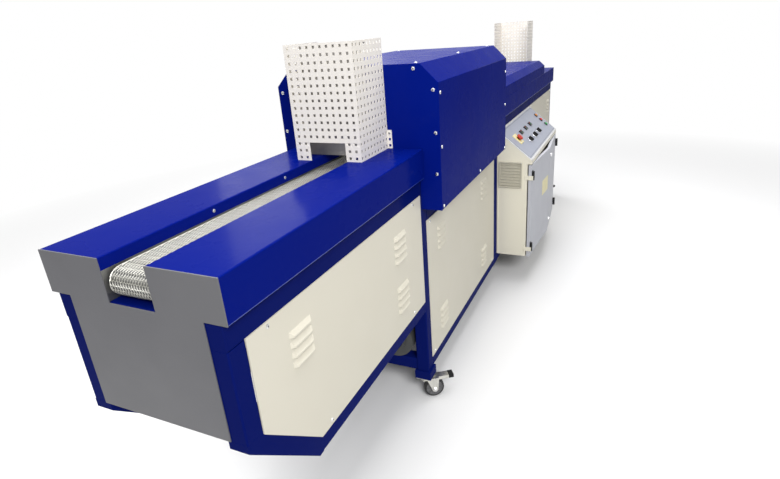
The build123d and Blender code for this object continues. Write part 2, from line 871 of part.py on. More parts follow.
# Thin brackets that hold the lower halves and wrap round the cabinet's side
with BuildPart() as hinge_brackets:
    for side_x, direction in ((cabinet_left, 1), (cabinet_right, -1)):
        outer_x = side_x - direction * bracket_thickness
        barrel_x = side_x + direction * (hinge_inset - hinge_diameter / 2)
        for hinge_z in (upper_hinge_z, lower_hinge_z):
            with BuildSketch(Plane.XY.offset(hinge_z - hinge_height / 2)):
                with BuildLine():
                    Polyline(
                        (barrel_x, hinge_y - bracket_thickness / 2),
                        (outer_x, hinge_y - bracket_thickness / 2),
                        (outer_x, cabinet_face + bracket_reach),
                        (side_x, cabinet_face + bracket_reach),
                        (side_x, hinge_y + bracket_thickness / 2),
                        (barrel_x, hinge_y + bracket_thickness / 2),
                        close=True,
                    )
                make_face()
            extrude(amount=(hinge_height - hinge_gap) / 2)
save(hinge_brackets, "hinge_brackets")

# Round locks on the right leaf, near the edge where the leaves meet
with BuildPart() as door_locks:
    lock_x = leaf_width + door_edge_gap - hinge_inset - lock_inset
    for lock_z in (upper_hinge_z, lower_hinge_z):
        leaf = leaf_plane(-1, lock_z)
        spot = leaf.from_local_coords((lock_x, hinge_diameter / 2, 0))
        with BuildSketch(Plane(origin=spot, x_dir=leaf.x_dir, z_dir=-leaf.y_dir)):
            Circle(lock_diameter / 2)
        extrude(amount=lock_height)
save(door_locks, "door_locks")

# Console plate and the controls that stand on it
console = Plane(
    origin=(cabinet_left, cabinet_front, cabinet_front_height),
    x_dir=(1, 0, 0),
    z_dir=(0, -sin(console_slope), cos(console_slope)),
)
stop_bore = stop_stem_diameter / 2 + stop_clearance

with BuildPart() as console_panel:
    with BuildSketch(Plane.YZ.offset(cabinet_left)):
        with BuildLine():
            Polyline(
                (cabinet_front, cabinet_front_height),
                (cabinet_back, cabinet_rear_height),
                (cabinet_back, cabinet_rear_height - console_drop),
                (cabinet_front, cabinet_front_height - console_drop),
                close=True,
            )
        make_face()
    extrude(amount=cabinet_width)
    with BuildSketch(console):
        with Locations(stop_place):
            Circle(stop_bore)
    extrude(amount=-console_drop, mode=Mode.SUBTRACT)
save(console_panel, "console_panel")

with BuildPart() as stop_plate:
    with BuildSketch(console):
        with Locations(stop_place):
            Rectangle(stop_plate_size, stop_plate_size)
            Circle(stop_bore, mode=Mode.SUBTRACT)
    extrude(amount=stop_plate_thickness)
save(stop_plate, "stop_plate")

with BuildPart() as emergency_stop:
    with BuildSketch(console.offset(-console_thickness)):
        with Locations(stop_place):
            Circle(stop_stem_diameter / 2)
    extrude(amount=console_thickness + stop_plate_thickness + stop_travel + stop_gap + stop_height / 2)
    with BuildSketch(console.offset(stop_plate_thickness + stop_travel + stop_gap)):
        with Locations(stop_place):
            Circle(stop_diameter / 2)
    extrude(amount=stop_height)
    crown = emergency_stop.faces().sort_by(Axis(console.origin, console.z_dir))[-1]
    chamfer(crown.edges(), stop_crown)
save(emergency_stop, "emergency_stop")

with BuildPart() as displays:
    with BuildSketch(console):
        for column in display_columns:
            with Locations((column, display_row)):
                Rectangle(display_width, display_height)
    extrude(amount=display_thickness)
save(displays, "displays")

with BuildPart() as knob_bezels:
    with BuildSketch(console):
        for column in knob_columns:
            with Locations((column, knob_row)):
                Circle(knob_bezel_diameter / 2)
    extrude(amount=knob_bezel_height)
save(knob_bezels, "knob_bezels")

for number, column in enumerate(knob_columns, start=1):
    with BuildPart() as knob:
        with BuildSketch(console.offset(knob_bezel_height + knob_clearance)):
            with Locations((column, knob_row)):
                Circle(knob_diameter / 2)
        extrude(amount=knob_height / 2)
        with BuildSketch(console.offset(knob_bezel_height + knob_clearance)):
            with Locations((column, knob_row)):
                Rectangle(knob_grip_width, knob_diameter)
        extrude(amount=knob_height)
    save(knob, f"selector_knob_{number}")

with BuildPart() as pilot_lamps:
    with BuildSketch(console):
        for row in lamp_rows:
            with Locations((lamp_column, row)):
                Circle(lamp_diameter / 2)
    extrude(amount=lamp_height)
save(pilot_lamps, "pilot_lamps")

# Air grille on the side of the cabinet: a rimmed tray with level fins
with BuildPart() as side_grille:
    grille_rear = cabinet_back - grille_rear_gap
    inner_width = grille_width - 2 * grille_rim
    inner_height = grille_height - 2 * grille_rim
    with BuildSketch(Plane.YZ.offset(cabinet_left)):
        with Locations((grille_rear, grille_bottom)):
            Rectangle(grille_width, grille_height, align=(Align.MAX, Align.MIN))
    extrude(amount=-grille_thickness)
    middle = (grille_rear - grille_width / 2, grille_bottom + grille_height / 2)
    with BuildSketch(Plane.YZ.offset(cabinet_left - grille_back)):
        with Locations(middle):
            Rectangle(inner_width, inner_height)
            with GridLocations(0, inner_height / grille_fins, 1, grille_fins):
                Rectangle(inner_width, grille_fin_height, mode=Mode.SUBTRACT)
    extrude(amount=grille_back - grille_thickness, mode=Mode.SUBTRACT)
save(side_grille, "side_grille")
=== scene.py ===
import json
import math

import bmesh
import bpy
from mathutils import Matrix, Vector


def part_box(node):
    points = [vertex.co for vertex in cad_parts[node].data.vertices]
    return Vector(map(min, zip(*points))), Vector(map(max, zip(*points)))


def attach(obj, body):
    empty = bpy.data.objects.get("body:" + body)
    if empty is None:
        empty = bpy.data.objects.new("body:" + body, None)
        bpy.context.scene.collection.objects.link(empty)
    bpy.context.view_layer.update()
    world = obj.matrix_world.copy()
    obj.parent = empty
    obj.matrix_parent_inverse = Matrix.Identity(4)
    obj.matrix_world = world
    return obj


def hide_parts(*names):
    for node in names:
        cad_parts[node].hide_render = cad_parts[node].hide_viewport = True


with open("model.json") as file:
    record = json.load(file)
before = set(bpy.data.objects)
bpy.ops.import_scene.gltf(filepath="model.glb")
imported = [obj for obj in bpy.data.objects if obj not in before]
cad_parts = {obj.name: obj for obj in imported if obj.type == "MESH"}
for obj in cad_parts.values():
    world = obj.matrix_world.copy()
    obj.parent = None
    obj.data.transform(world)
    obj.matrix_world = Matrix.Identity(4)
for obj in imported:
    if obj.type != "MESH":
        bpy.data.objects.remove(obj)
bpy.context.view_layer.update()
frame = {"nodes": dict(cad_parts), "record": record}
nodes = frame["nodes"]
scene = bpy.context.scene
joints = {joint["name"]: joint for joint in frame["record"]["behaviour"]["joints"]}
CASTERS = ("entry_front", "entry_rear", "exit_front", "exit_rear")


# Materials: one Principled shader each, with its colour, gloss and relief worked out by nodes
class Shader:
    """A node material under construction: one Principled shader and the nodes that feed it."""

    def __init__(self, name, colour, roughness=0.5, metallic=0.0):
        self.material = bpy.data.materials.new(name)
        self.material.use_nodes = True
        self.tree = self.material.node_tree
        self.shader = self.tree.nodes["Principled BSDF"]
        self.shader.inputs["Base Color"].default_value = (*colour, 1)
        self.shader.inputs["Roughness"].default_value = roughness
        self.shader.inputs["Metallic"].default_value = metallic
        self.place = self.add("ShaderNodeTexCoord").outputs["Object"]
        self.normal = None

    def add(self, kind, **values):
        node = self.tree.nodes.new(kind)
        for key, value in values.items():
            setattr(node, key, value)
        return node

    def link(self, source, target):
        self.tree.links.new(source, target)

    def set(self, **values):
        for key, value in values.items():
            self.shader.inputs[key.replace("_", " ")].default_value = value

    def axis(self, name):
        split = self.add("ShaderNodeSeparateXYZ")
        self.link(self.place, split.inputs["Vector"])
        return split.outputs[name]

    def noise(self, scale, detail=2.0, stretch=None):
        node = self.add("ShaderNodeTexNoise")
        node.inputs["Scale"].default_value = scale
        node.inputs["Detail"].default_value = detail
        source = self.place
        if stretch:
            mapping = self.add("ShaderNodeMapping")
            mapping.inputs["Scale"].default_value = stretch
            self.link(self.place, mapping.inputs["Vector"])
            source = mapping.outputs["Vector"]
        self.link(source, node.inputs["Vector"])
        return node.outputs["Fac"]

    def ramp(self, value, low, high, start, end):
        node = self.add("ShaderNodeMapRange")
        for key, number in (("From Min", low), ("From Max", high), ("To Min", start), ("To Max", end)):
            node.inputs[key].default_value = number
        self.link(value, node.inputs["Value"])
        return node.outputs["Result"]

    def math(self, operation, first, second=None, third=None):
        node = self.add("ShaderNodeMath", operation=operation)
        for socket, value in zip(node.inputs, (first, second, third)):
            if value is None:
                continue
            if isinstance(value, (int, float)):
                socket.default_value = value
            else:
                self.link(value, socket)
        return node.outputs["Value"]

    def blend(self, factor, first, second):
        node = self.add("ShaderNodeMix", data_type="RGBA")
        self.link(factor, node.inputs["Factor"])
        for socket, colour in ((node.inputs[6], first), (node.inputs[7], second)):
            if isinstance(colour, tuple):
                socket.default_value = (*colour, 1)
            else:
                self.link(colour, socket)
        return node.outputs[2]

    def colour(self, source):
        self.link(source, self.shader.inputs["Base Color"])

    def roughness(self, source):
        self.link(source, self.shader.inputs["Roughness"])

    def bump(self, height, strength, distance):
        node = self.add("ShaderNodeBump")
        node.inputs["Strength"].default_value = strength
        node.inputs["Distance"].default_value = distance
        self.link(height, node.inputs["Height"])
        if self.normal:
            self.link(self.normal, node.inputs["Normal"])
        self.normal = node.outputs["Normal"]
        self.link(self.normal, self.shader.inputs["Normal"])


def enamel(name, colour, dusty, roughness=0.32, grain=700.0, ior=1.4, dust=0.3, peel=0.1, coat=0.0):
    """Sprayed enamel: fine orange peel, a cloudy tone, and dust that gathers towards the floor."""
    made = Shader(name, colour, roughness)
    made.set(IOR=ior, Coat_Weight=coat, Coat_Roughness=0.12)
    cloud = made.ramp(made.noise(1.9, 4.0), 0.35, 0.75, 0.0, dust)
    low = made.ramp(made.axis("Z"), 0.1, 0.6, 0.35, 0.0)
    smudge = made.math("MULTIPLY", low, made.noise(6.0, 6.0))
    fleck = made.ramp(made.noise(310.0, 2.0), 0.7, 0.76, 0.0, 0.12)
    amount = made.math("ADD", made.math("ADD", smudge, cloud), fleck)
    made.colour(made.blend(amount, colour, dusty))
    made.roughness(made.ramp(made.noise(11.0, 6.0), 0.25, 0.8, roughness - 0.04, roughness + 0.12))
    made.bump(made.noise(grain, 2.0), peel, 0.0003)
    return made.material


def metal(name, colour, roughness, stretch=(1, 1, 1), scratches=0.3):
    """Bare or plated metal with fine drawn scratches and a cloudy surface."""
    made = Shader(name, colour, roughness, 1.0)
    lines = made.noise(160.0, 6.0, stretch)
    tone = tuple(0.7 * c for c in colour)
    made.colour(made.blend(made.ramp(made.noise(26.0, 4.0), 0.35, 0.75, 0.0, 0.6), colour, tone))
    made.roughness(made.ramp(lines, 0.2, 0.8, roughness - 0.08, roughness + 0.16))
    made.bump(lines, scratches, 0.0002)
    return made.material


def plastic(name, colour, roughness, grain=900.0, strength=0.1, ior=1.4):
    """Moulded plastic with a fine grain and a slightly uneven tone."""
    made = Shader(name, colour, roughness)
    made.set(IOR=ior)
    light = tuple(min(1.0, 1.18 * c + 0.01) for c in colour)
    made.colour(made.blend(made.ramp(made.noise(60.0, 4.0), 0.3, 0.8, 0.0, 0.7), colour, light))
    made.roughness(made.ramp(made.noise(120.0, 3.0), 0.3, 0.7, roughness - 0.05, roughness + 0.08))
    made.bump(made.noise(grain, 1.0), strength, 0.0002)
    return made.material


def lens(name, colour):
    """Tinted lamp lens: a clear coat over a deep colour with fine prisms."""
    made = Shader(name, colour, 0.2)
    made.set(Coat_Weight=0.7, Coat_Roughness=0.04)
    prisms = made.noise(420.0, 1.0)
    bright = tuple(min(1.0, 1.5 * c + 0.04) for c in colour)
    made.colour(made.blend(made.ramp(prisms, 0.3, 0.7, 0.0, 1.0), colour, bright))
    made.bump(prisms, 0.25, 0.0004)
    return made.material


def lit(name, colour, strength):
    """A small glowing segment or pilot light."""
    made = Shader(name, tuple(0.5 * c for c in colour), 0.5)
    made.set(Emission_Color=(*colour, 1), Emission_Strength=strength)
    made.roughness(made.ramp(made.noise(300.0, 1.0), 0.3, 0.7, 0.4, 0.6))
    return made.material


def woven_wire(name, row_pitch, turn_pitch):
    """Woven wire seen from afar: slanting wires in rows that lean one way, then the other; painted shade in
    the gaps.
    """
    made = Shader(name, (0.42, 0.40, 0.35), 0.42, 0.85)
    row = made.math("DIVIDE", made.axis("X"), row_pitch)
    column = made.math("DIVIDE", made.axis("Y"), turn_pitch)
    inside = made.math("FRACT", row)
    halves = made.math("MULTIPLY", made.math("FRACT", made.math("DIVIDE", row, 2.0)), 2.0)
    lean = made.math("MULTIPLY_ADD", made.math("FLOOR", halves), 2.0, -1.0)
    slant = made.math("MULTIPLY", made.math("SUBTRACT", inside, 0.5), lean)
    across = made.math("FRACT", made.math("ADD", column, slant))
    strand = made.ramp(made.math("ABSOLUTE", made.math("SUBTRACT", across, 0.5)), 0.08, 0.42, 1.0, 0.0)
    rod = made.ramp(made.math("ABSOLUTE", made.math("SUBTRACT", inside, 0.5)), 0.5, 0.36, 1.0, 0.0)
    height = made.math("MAXIMUM", strand, made.math("MULTIPLY", rod, 0.8))
    worn = made.ramp(made.noise(14.0, 5.0), 0.3, 0.75, 0.0, 0.5)
    wires = made.blend(worn, (0.40, 0.385, 0.34), (0.27, 0.25, 0.21))
    # Near-black where the weave is low, between the wires: painted shade in the gaps
    made.colour(made.blend(made.ramp(height, 0.15, 0.55, 0.0, 1.0), (0.05, 0.045, 0.04), wires))
    made.roughness(made.ramp(made.noise(90.0, 3.0), 0.3, 0.7, 0.34, 0.55))
    made.bump(height, 0.9, 0.0018)
    return made.material


ROW_PITCH, TURN_PITCH = 0.010, 0.0074    # of the belt's weave, along it and across it
blue = enamel("blue_enamel", (0.001, 0.007, 0.17), (0.002, 0.014, 0.22), 0.25, 650.0, 1.03, coat=0.04)
# Lighter, glossier copy of the cover blue for the skirt hems: painted highlight
highlight_blue = enamel("hem_painted_highlight_enamel", (0.02, 0.045, 0.30), (0.04, 0.07, 0.34), 0.2, 650.0, 1.5)
# The cover blue made darker for the frame under the covers: painted shade
shaded_frame_blue = enamel("frame_blue_painted_shade_enamel", (0.001, 0.006, 0.11), (0.010, 0.018, 0.14), 0.3, 600.0, 1.03, coat=0.04)
cream = enamel("cream_enamel", (0.71, 0.675, 0.57), (0.63, 0.60, 0.50), 0.4, 900.0, 1.35)
guard_cream = enamel("guard_cream_enamel", (0.86, 0.82, 0.75), (0.76, 0.72, 0.65), 0.42, 900.0, 1.4)
cabinet_cream = enamel("cabinet_cream_enamel", (0.80, 0.765, 0.64), (0.71, 0.68, 0.57), 0.42, 500.0, 1.4)
door_grey = enamel("door_grey_enamel", (0.52, 0.53, 0.58), (0.45, 0.46, 0.49), 0.45, 380.0, 1.4, peel=0.2)
plate_grey = enamel("plate_grey_enamel", (0.13, 0.13, 0.14), (0.2, 0.2, 0.2), 0.42, 700.0, 1.4)
console_rim = enamel("console_enamel", (0.66, 0.66, 0.65), (0.6, 0.6, 0.58), 0.4, 900.0, 1.4)
foil_blue = enamel("console_foil", (0.33, 0.35, 0.42), (0.38, 0.40, 0.46), 0.35, 1200.0, 1.3, 0.2, 0.05)
blower_grey = enamel("blower_grey_paint", (0.045, 0.048, 0.05), (0.12, 0.12, 0.11), 0.45, 500.0, 1.4, 0.5)
bed_steel = metal("bed_steel", (0.30, 0.30, 0.29), 0.45, (0.05, 1, 1))
flap_steel = metal("flap_steel", (0.40, 0.39, 0.38), 0.5, (1, 1, 0.1))
tunnel_steel = metal("tunnel_steel", (0.28, 0.27, 0.26), 0.5, (0.1, 1, 1))
wire_steel = metal("wire_steel", (0.62, 0.61, 0.56), 0.36, (1, 1, 1), 0.4)
zinc = metal("zinc_plate", (0.70, 0.69, 0.64), 0.3, (1, 1, 0.2), 0.15)
chrome = metal("bright_chrome", (0.82, 0.82, 0.83), 0.12, (1, 1, 1), 0.04)
screw_metal = metal("screw_metal", (0.78, 0.78, 0.76), 0.28, (1, 1, 1), 0.1)
rubber = plastic("tyre_rubber", (0.022, 0.022, 0.023), 0.62, 300.0, 0.25)
hub_plastic = plastic("hub_plastic", (0.16, 0.16, 0.165), 0.5, 500.0, 0.15)
black_plastic_and_recess_shade = plastic("black_plastic_and_recess_shade", (0.018, 0.018, 0.019), 0.42, ior=1.2)
grey_plastic = plastic("grey_plastic", (0.36, 0.355, 0.33), 0.5)
yellow_plastic = plastic("yellow_plastic", (0.80, 0.52, 0.04), 0.4)
pale_yellow = plastic("pale_yellow_plate", (0.74, 0.68, 0.40), 0.45)
grille_plastic = plastic("grille_plastic", (0.50, 0.475, 0.39), 0.5)
red_plastic = plastic("red_plastic", (0.46, 0.035, 0.018), 0.3)
white_plastic = plastic("white_plastic", (0.75, 0.74, 0.70), 0.4)
outline_grey = plastic("outline_grey", (0.07, 0.075, 0.09), 0.5)
display_face = plastic("display_face", (0.010, 0.012, 0.016), 0.2, 1500.0, 0.02, 1.1)
# Near-black for the locks' keyways: painted shade of a recess
keyway_shade = plastic("keyway_painted_shade", (0.01, 0.01, 0.01), 0.6)
amber_lens = lens("amber_lens", (0.50, 0.17, 0.01))
red_lens = lens("red_lens", (0.42, 0.012, 0.008))
green_lens = lens("green_lens", (0.01, 0.24, 0.05))
red_digit = lit("red_digit", (0.8, 0.08, 0.03), 0.16)
green_digit = lit("green_digit", (0.10, 0.6, 0.18), 0.10)
weave = woven_wire("woven_wire", ROW_PITCH, TURN_PITCH)

looks = {
    "posts": shaded_frame_blue, "side_rails": shaded_frame_blue, "cross_rails": shaded_frame_blue, "entry_braces": shaded_frame_blue, "foot_blocks": shaded_frame_blue,
    "entry_covers": blue, "exit_covers": blue, "cooling_cover": blue, "hood": blue, "hood_end_plates": blue,
    "belt_bed": bed_steel, "end_rollers": bed_steel, "mesh_belt": weave, "heating_tunnel": tunnel_steel,
    "front_panels": cream, "rear_panels": cream, "end_plates": plate_grey, "belt_guards": guard_cream,
    "blower": blower_grey, "caster_plates": zinc, "control_cabinet": cabinet_cream,
    "left_door": door_grey, "right_door": door_grey, "left_door_hinges": black_plastic_and_recess_shade,
    "right_door_hinges": black_plastic_and_recess_shade, "hinge_barrels": black_plastic_and_recess_shade, "hinge_brackets": cabinet_cream,
    "door_locks": chrome, "console_panel": console_rim, "stop_plate": pale_yellow,
    "emergency_stop": red_plastic, "displays": black_plastic_and_recess_shade, "knob_bezels": chrome,
    "selector_knob_1": black_plastic_and_recess_shade, "selector_knob_2": black_plastic_and_recess_shade, "selector_knob_3": black_plastic_and_recess_shade,
    "pilot_lamps": black_plastic_and_recess_shade, "side_grille": grille_plastic,
}
for place in CASTERS:
    looks[f"caster_fork_{place}"] = zinc
    looks[f"caster_wheel_{place}"] = rubber
for name, look in looks.items():
    nodes[name].data.materials.clear()
    nodes[name].data.materials.append(look)


def soften(name, width):
    """Weld a CAD node's facets and round its sharp edges a little, so that they catch the light."""
    weld = nodes[name].modifiers.new("weld", "WELD")
    weld.merge_threshold = 1e-6
    flat = nodes[name].modifiers.new("flat", "DECIMATE")
    flat.decimate_type = "DISSOLVE"
    flat.angle_limit = math.radians(0.5)
    edge = nodes[name].modifiers.new("edge", "BEVEL")
    edge.width = width
    edge.segments = 2
    edge.limit_method = "ANGLE"
    edge.angle_limit = math.radians(35)
    edge.use_clamp_overlap = True
    edge.harden_normals = True


SHEET_NODES = ("posts", "side_rails", "cross_rails", "entry_braces", "foot_blocks", "entry_covers",
               "exit_covers", "cooling_cover", "hood", "hood_end_plates", "end_plates", "front_panels",
               "rear_panels", "control_cabinet", "left_door", "right_door", "console_panel",
               "heating_tunnel", "belt_bed", "caster_plates", "side_grille", "hinge_brackets")
SMALL_NODES = ("stop_plate", "displays", "selector_knob_1", "selector_knob_2", "selector_knob_3")
SHEET_EDGE, SMALL_EDGE = 0.0008, 0.0005
for name in SHEET_NODES:
    soften(name, SHEET_EDGE)
for name in SMALL_NODES + tuple(f"caster_fork_{place}" for place in CASTERS):
    soften(name, SMALL_EDGE)


# Tools that make the small pieces
def piece_from(bm, name, look, body="machine", smooth=None):
    """Turn mesh data into a named piece that rides on a body."""
    mesh = bpy.data.meshes.new(name)
    bmesh.ops.recalc_face_normals(bm, faces=bm.faces)
    bm.to_mesh(mesh)
    bm.free()
    made = bpy.data.objects.new(name, mesh)
    scene.collection.objects.link(made)
    for material in look if isinstance(look, tuple) else (look,):
        mesh.materials.append(material)
    if smooth is not None:
        for polygon in mesh.polygons:
            polygon.use_smooth = True
        mesh.set_sharp_from_angle(angle=math.radians(smooth))
    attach(made, body)
    return made


def facing(origin, normal, up=(0, 0, 1)):
    """Matrix whose Z axis is the normal and whose Y axis is as near to up as can be."""
    z = Vector(normal).normalized()
    x = Vector(up).cross(z).normalized()
    made = Matrix((x, z.cross(x), z)).transposed().to_4x4()
    made.translation = Vector(origin)
    return made


def shifted(matrix, x=0.0, y=0.0, z=0.0, turn=0.0):
    """The same frame moved by local distances and turned round its own Z axis."""
    return matrix @ Matrix.Translation((x, y, z)) @ Matrix.Rotation(turn, 4, "Z")


def lathe(bm, profile, matrix, steps=28, slot=0):
    """Turn a line of (radius, height) points round the matrix's Z axis. Radius 0 closes an end."""
    rings = []
    for radius, height in profile:
        count = 1 if radius == 0 else steps
        angles = [2 * math.pi * step / steps for step in range(count)]
        rings.append([bm.verts.new(matrix @ Vector((radius * math.cos(a), radius * math.sin(a), height)))
                      for a in angles])
    for first, second in zip(rings, rings[1:]):
        for step in range(steps):
            after = (step + 1) % steps
            corners = [first[step % len(first)], second[step % len(second)],
                       second[after % len(second)], first[after % len(first)]]
            face = bm.faces.new(list(dict.fromkeys(corners)))
            face.material_index = slot


def block(bm, low, high, matrix, slot=0, bevel=0.0):
    """A block between two corners, in the matrix's frame, with its edges broken when a bevel is given."""
    centre = [(a + b) / 2 for a, b in zip(low, high)]
    size = [b - a for a, b in zip(low, high)]
    place = matrix @ Matrix.Translation(centre) @ Matrix.Diagonal((*size, 1))
    made = bmesh.ops.create_cube(bm, size=1.0, matrix=place)
    faces = {face for vert in made["verts"] for face in vert.link_faces}
    for face in faces:
        face.material_index = slot
    if bevel:
        edges = list({edge for face in faces for edge in face.edges})
        bmesh.ops.bevel(bm, geom=edges, offset=bevel, segments=2, affect="EDGES", profile=0.6)


def screw(bm, matrix, radius=0.0052, height=0.0028):
    """Pan-head screw with a crossed recess, on a small washer face; the recess is two raised bars in the
    second material, painted shade where that is black.
    """
    profile = [(radius * 1.12, 0), (radius * 1.1, 0.0005), (radius, 0.0007), (radius * 0.93, height * 0.7),
               (radius * 0.66, height * 0.96), (radius * 0.34, height), (radius * 0.3, height * 0.55),
               (0, height * 0.5)]
    lathe(bm, profile, matrix, 16)
    # The crossed recess as two thin bars in the second material; black on most screws, as painted shade for
    # its depth
    for turn in (0, math.pi / 2):
        arm = shifted(matrix, turn=turn)
        block(bm, (-radius * 0.52, -radius * 0.09, height * 0.9),
              (radius * 0.52, radius * 0.09, height * 1.02), arm, 1)


def hexagon(bm, matrix, across, height, slot=0):
    """A hexagon head or nut with a chamfered top, on a thin washer."""
    corner = across / math.sqrt(3)
    lathe(bm, [(corner * 1.25, 0), (corner * 1.25, height * 0.16), (0, height * 0.16)], matrix, 20, slot)
    lathe(bm, [(corner, 0), (corner, height * 0.86), (corner * 0.86, height), (0, height)], matrix, 6, slot)


# Perforated guards: open at the top, with a low mouth at the foot of the outer wall
HOLE_HALF = 0.0042
HOLE_CORNERS = [(x * HOLE_HALF, y * HOLE_HALF) for x, y in ((-1, -1), (1, -1), (1, 1), (-1, 1))]
COLUMN_STEP, ROW_STEP = 0.022, 0.0215
END_COLUMNS, SIDE_COLUMNS, HOLE_ROWS = 10, 9, 16
FIRST_COLUMN, FIRST_ROW = 0.43, 0.48    # in steps, from the sheet's edge
GUARD_LENGTH = 0.193
GUARD_SHEET = 0.002
FLANGE_WIDTH, FLANGE_HEIGHT = 0.016, 0.060
FLANGE_HOLES = (0.010, 0.030)
FLANGE_SCREW_RISE = 0.050
MOUTH_HALF, MOUTH_HEIGHT = 0.063, 0.057


def cell_edges(centres, low, high, stops=()):
    """Borders between neighbouring hole centres, moved onto a stop where one lies between them."""
    edges = [low]
    for first, second in zip(centres, centres[1:]):
        inside = [stop for stop in stops if first < stop < second]
        edges.append(inside[0] if inside else (first + second) / 2)
    return edges + [high]


def perforated(bm, matrix, columns, rows, width, height, notch=None):
    """A flat sheet with a square hole at each crossing of columns and rows, less a notch at its foot."""
    half, top = notch or (0, 0)
    xs = cell_edges(columns, *width, (-half, half) if notch else ())
    ys = cell_edges(rows, 0, height, (top,) if notch else ())
    made = {}

    def vert(x, y):
        key = (round(x, 6), round(y, 6))
        if key not in made:
            made[key] = bm.verts.new(matrix @ Vector((x, y, 0)))
        return made[key]

    for column, x0, x1 in zip(columns, xs, xs[1:]):
        for row, y0, y1 in zip(rows, ys, ys[1:]):
            if notch and abs(column) < half and row < top:
                continue
            border = ((x0, y0), (x1, y0), (x1, y1), (x0, y1))
            ring = [bm.verts.new(matrix @ Vector((column + dx, row + dy, 0))) for dx, dy in HOLE_CORNERS]
            for corner in range(4):
                after = (corner + 1) % 4
                bm.faces.new((vert(*border[corner]), vert(*border[after]), ring[after], ring[corner]))


guard_low, guard_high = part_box("belt_guards")
table_z = guard_low.z
belt_y = (guard_low.y + guard_high.y) / 2
guard_half = (guard_high.y - guard_low.y) / 2 - FLANGE_WIDTH
guard_height = guard_high.z - guard_low.z


def guard(outer_x, direction, name):
    """One guard: a perforated outer wall and two side walls, with a drilled flange on each side."""
    base_x = outer_x - direction * GUARD_LENGTH
    rows = [ROW_STEP * (n + FIRST_ROW) for n in range(HOLE_ROWS)]
    columns = [COLUMN_STEP * (n - (END_COLUMNS - 1) / 2) for n in range(END_COLUMNS)]
    steps = [COLUMN_STEP * (n + FIRST_COLUMN) for n in range(SIDE_COLUMNS)]
    bm = bmesh.new()
    end = facing((outer_x, belt_y, table_z), (direction, 0, 0))
    perforated(bm, end, columns, rows, (-guard_half, guard_half), guard_height, (MOUTH_HALF, MOUTH_HEIGHT))
    for side in (-1, 1):
        corner = (base_x, belt_y + side * guard_half, table_z)
        wall = facing(corner, (0, side, 0))
        along = 1 if wall.col[0].x * direction > 0 else -1
        perforated(bm, wall, sorted(along * step for step in steps), rows,
                   sorted((0, along * GUARD_LENGTH)), guard_height)
        flange = facing(corner, (direction, 0, 0))
        out = 1 if flange.col[0].y * side > 0 else -1
        perforated(bm, flange, [out * FLANGE_WIDTH / 2], FLANGE_HOLES, sorted((0, out * FLANGE_WIDTH)),
                   FLANGE_HEIGHT)
    bmesh.ops.remove_doubles(bm, verts=bm.verts, dist=1e-5)
    made = piece_from(bm, name, guard_cream)
    thick = made.modifiers.new("thick", "SOLIDIFY")
    thick.thickness = GUARD_SHEET
    thick.offset = 0
    return made


entry_guard = guard(guard_low.x + GUARD_SHEET / 2, -1, "entry_guard")
guard(guard_high.x - GUARD_SHEET / 2, 1, "exit_guard")
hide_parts("belt_guards")

# One screw through each flange of the guards
bm = bmesh.new()
for edge_x, direction in ((guard_low.x, -1), (guard_high.x, 1)):
    for side in (-1, 1):
        spot = (edge_x - direction * GUARD_LENGTH, belt_y + side * (guard_half + FLANGE_WIDTH / 2),
                table_z + FLANGE_SCREW_RISE)
        screw(bm, facing(spot, (direction, 0, 0)), 0.0042, 0.0022)
# Black here fills the screws' crossed recesses: painted shade
piece_from(bm, "guard_screws", (screw_metal, black_plastic_and_recess_shade), smooth=40)

# Steel flap with a stiffened foot, hanging from a rod inside the entry guard
FLAP_SETBACK = 0.075
FLAP_GAP = 0.001
FLAP_SHEET_HALF, FOOT_THICK, FOOT_HEIGHT = 0.0006, 0.0014, 0.008
ROD_DROP = 0.008
TUBE_RADIUS, PIN_RADIUS = 0.0042, 0.0022
bm = bmesh.new()
spot = facing((guard_low.x + FLAP_SETBACK, belt_y, table_z), (-1, 0, 0))
inner_half, rod_height = guard_half - GUARD_SHEET / 2, guard_height - ROD_DROP
flap_half = inner_half - FLAP_GAP
block(bm, (-flap_half, FLAP_GAP, -FLAP_SHEET_HALF), (flap_half, rod_height - 0.003, FLAP_SHEET_HALF), spot)
block(bm, (-flap_half, FLAP_GAP, FLAP_SHEET_HALF), (flap_half, FOOT_HEIGHT, FOOT_THICK), spot, bevel=0.0003)
rod = facing((guard_low.x + FLAP_SETBACK, belt_y, table_z + rod_height), (0, 1, 0))
lathe(bm, [(TUBE_RADIUS - 0.001, -flap_half), (TUBE_RADIUS, 0.001 - flap_half),
           (TUBE_RADIUS, flap_half - 0.001), (TUBE_RADIUS - 0.001, flap_half)], rod, 20)
for side in (-1, 1):
    start, end = side * (inner_half - 0.0012), side * (guard_half + 0.004)
    lathe(bm, [(0, start), (PIN_RADIUS, start), (PIN_RADIUS, end), (0, end)], rod, 16)
piece_from(bm, "guard_flap", flap_steel, smooth=40)


# Woven wire belt: real wires where it shows, on both tables and round both end rollers, and a ribbon
# where covers or the bed hide it
belt_low, belt_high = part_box("mesh_belt")
BELT_SHEET = 0.004
WIRE = 0.0007
EDGE_GAP = 0.0012
loop_half = (belt_high.x - belt_low.x) / 2
loop_outer = (belt_high.z - belt_low.z) / 2
loop_radius = loop_outer - BELT_SHEET / 2
loop_z = (belt_high.z + belt_low.z) / 2
roller_x = loop_half - loop_outer
belt_half = (belt_high.y - belt_low.y) / 2
EDGE_START = 0.002                # where the edge wires begin to bend, before the top of the roller
ROUND_STEPS, TURN_STEPS = 12, 6   # of an edge wire round a roller, and of a spiral's turn
WIRE_SIDES = ((1, 0), (0, 1), (-1, 0), (0, -1))
hood_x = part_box("hood_end_plates")[0].x
cooling_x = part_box("cooling_cover")[1].x


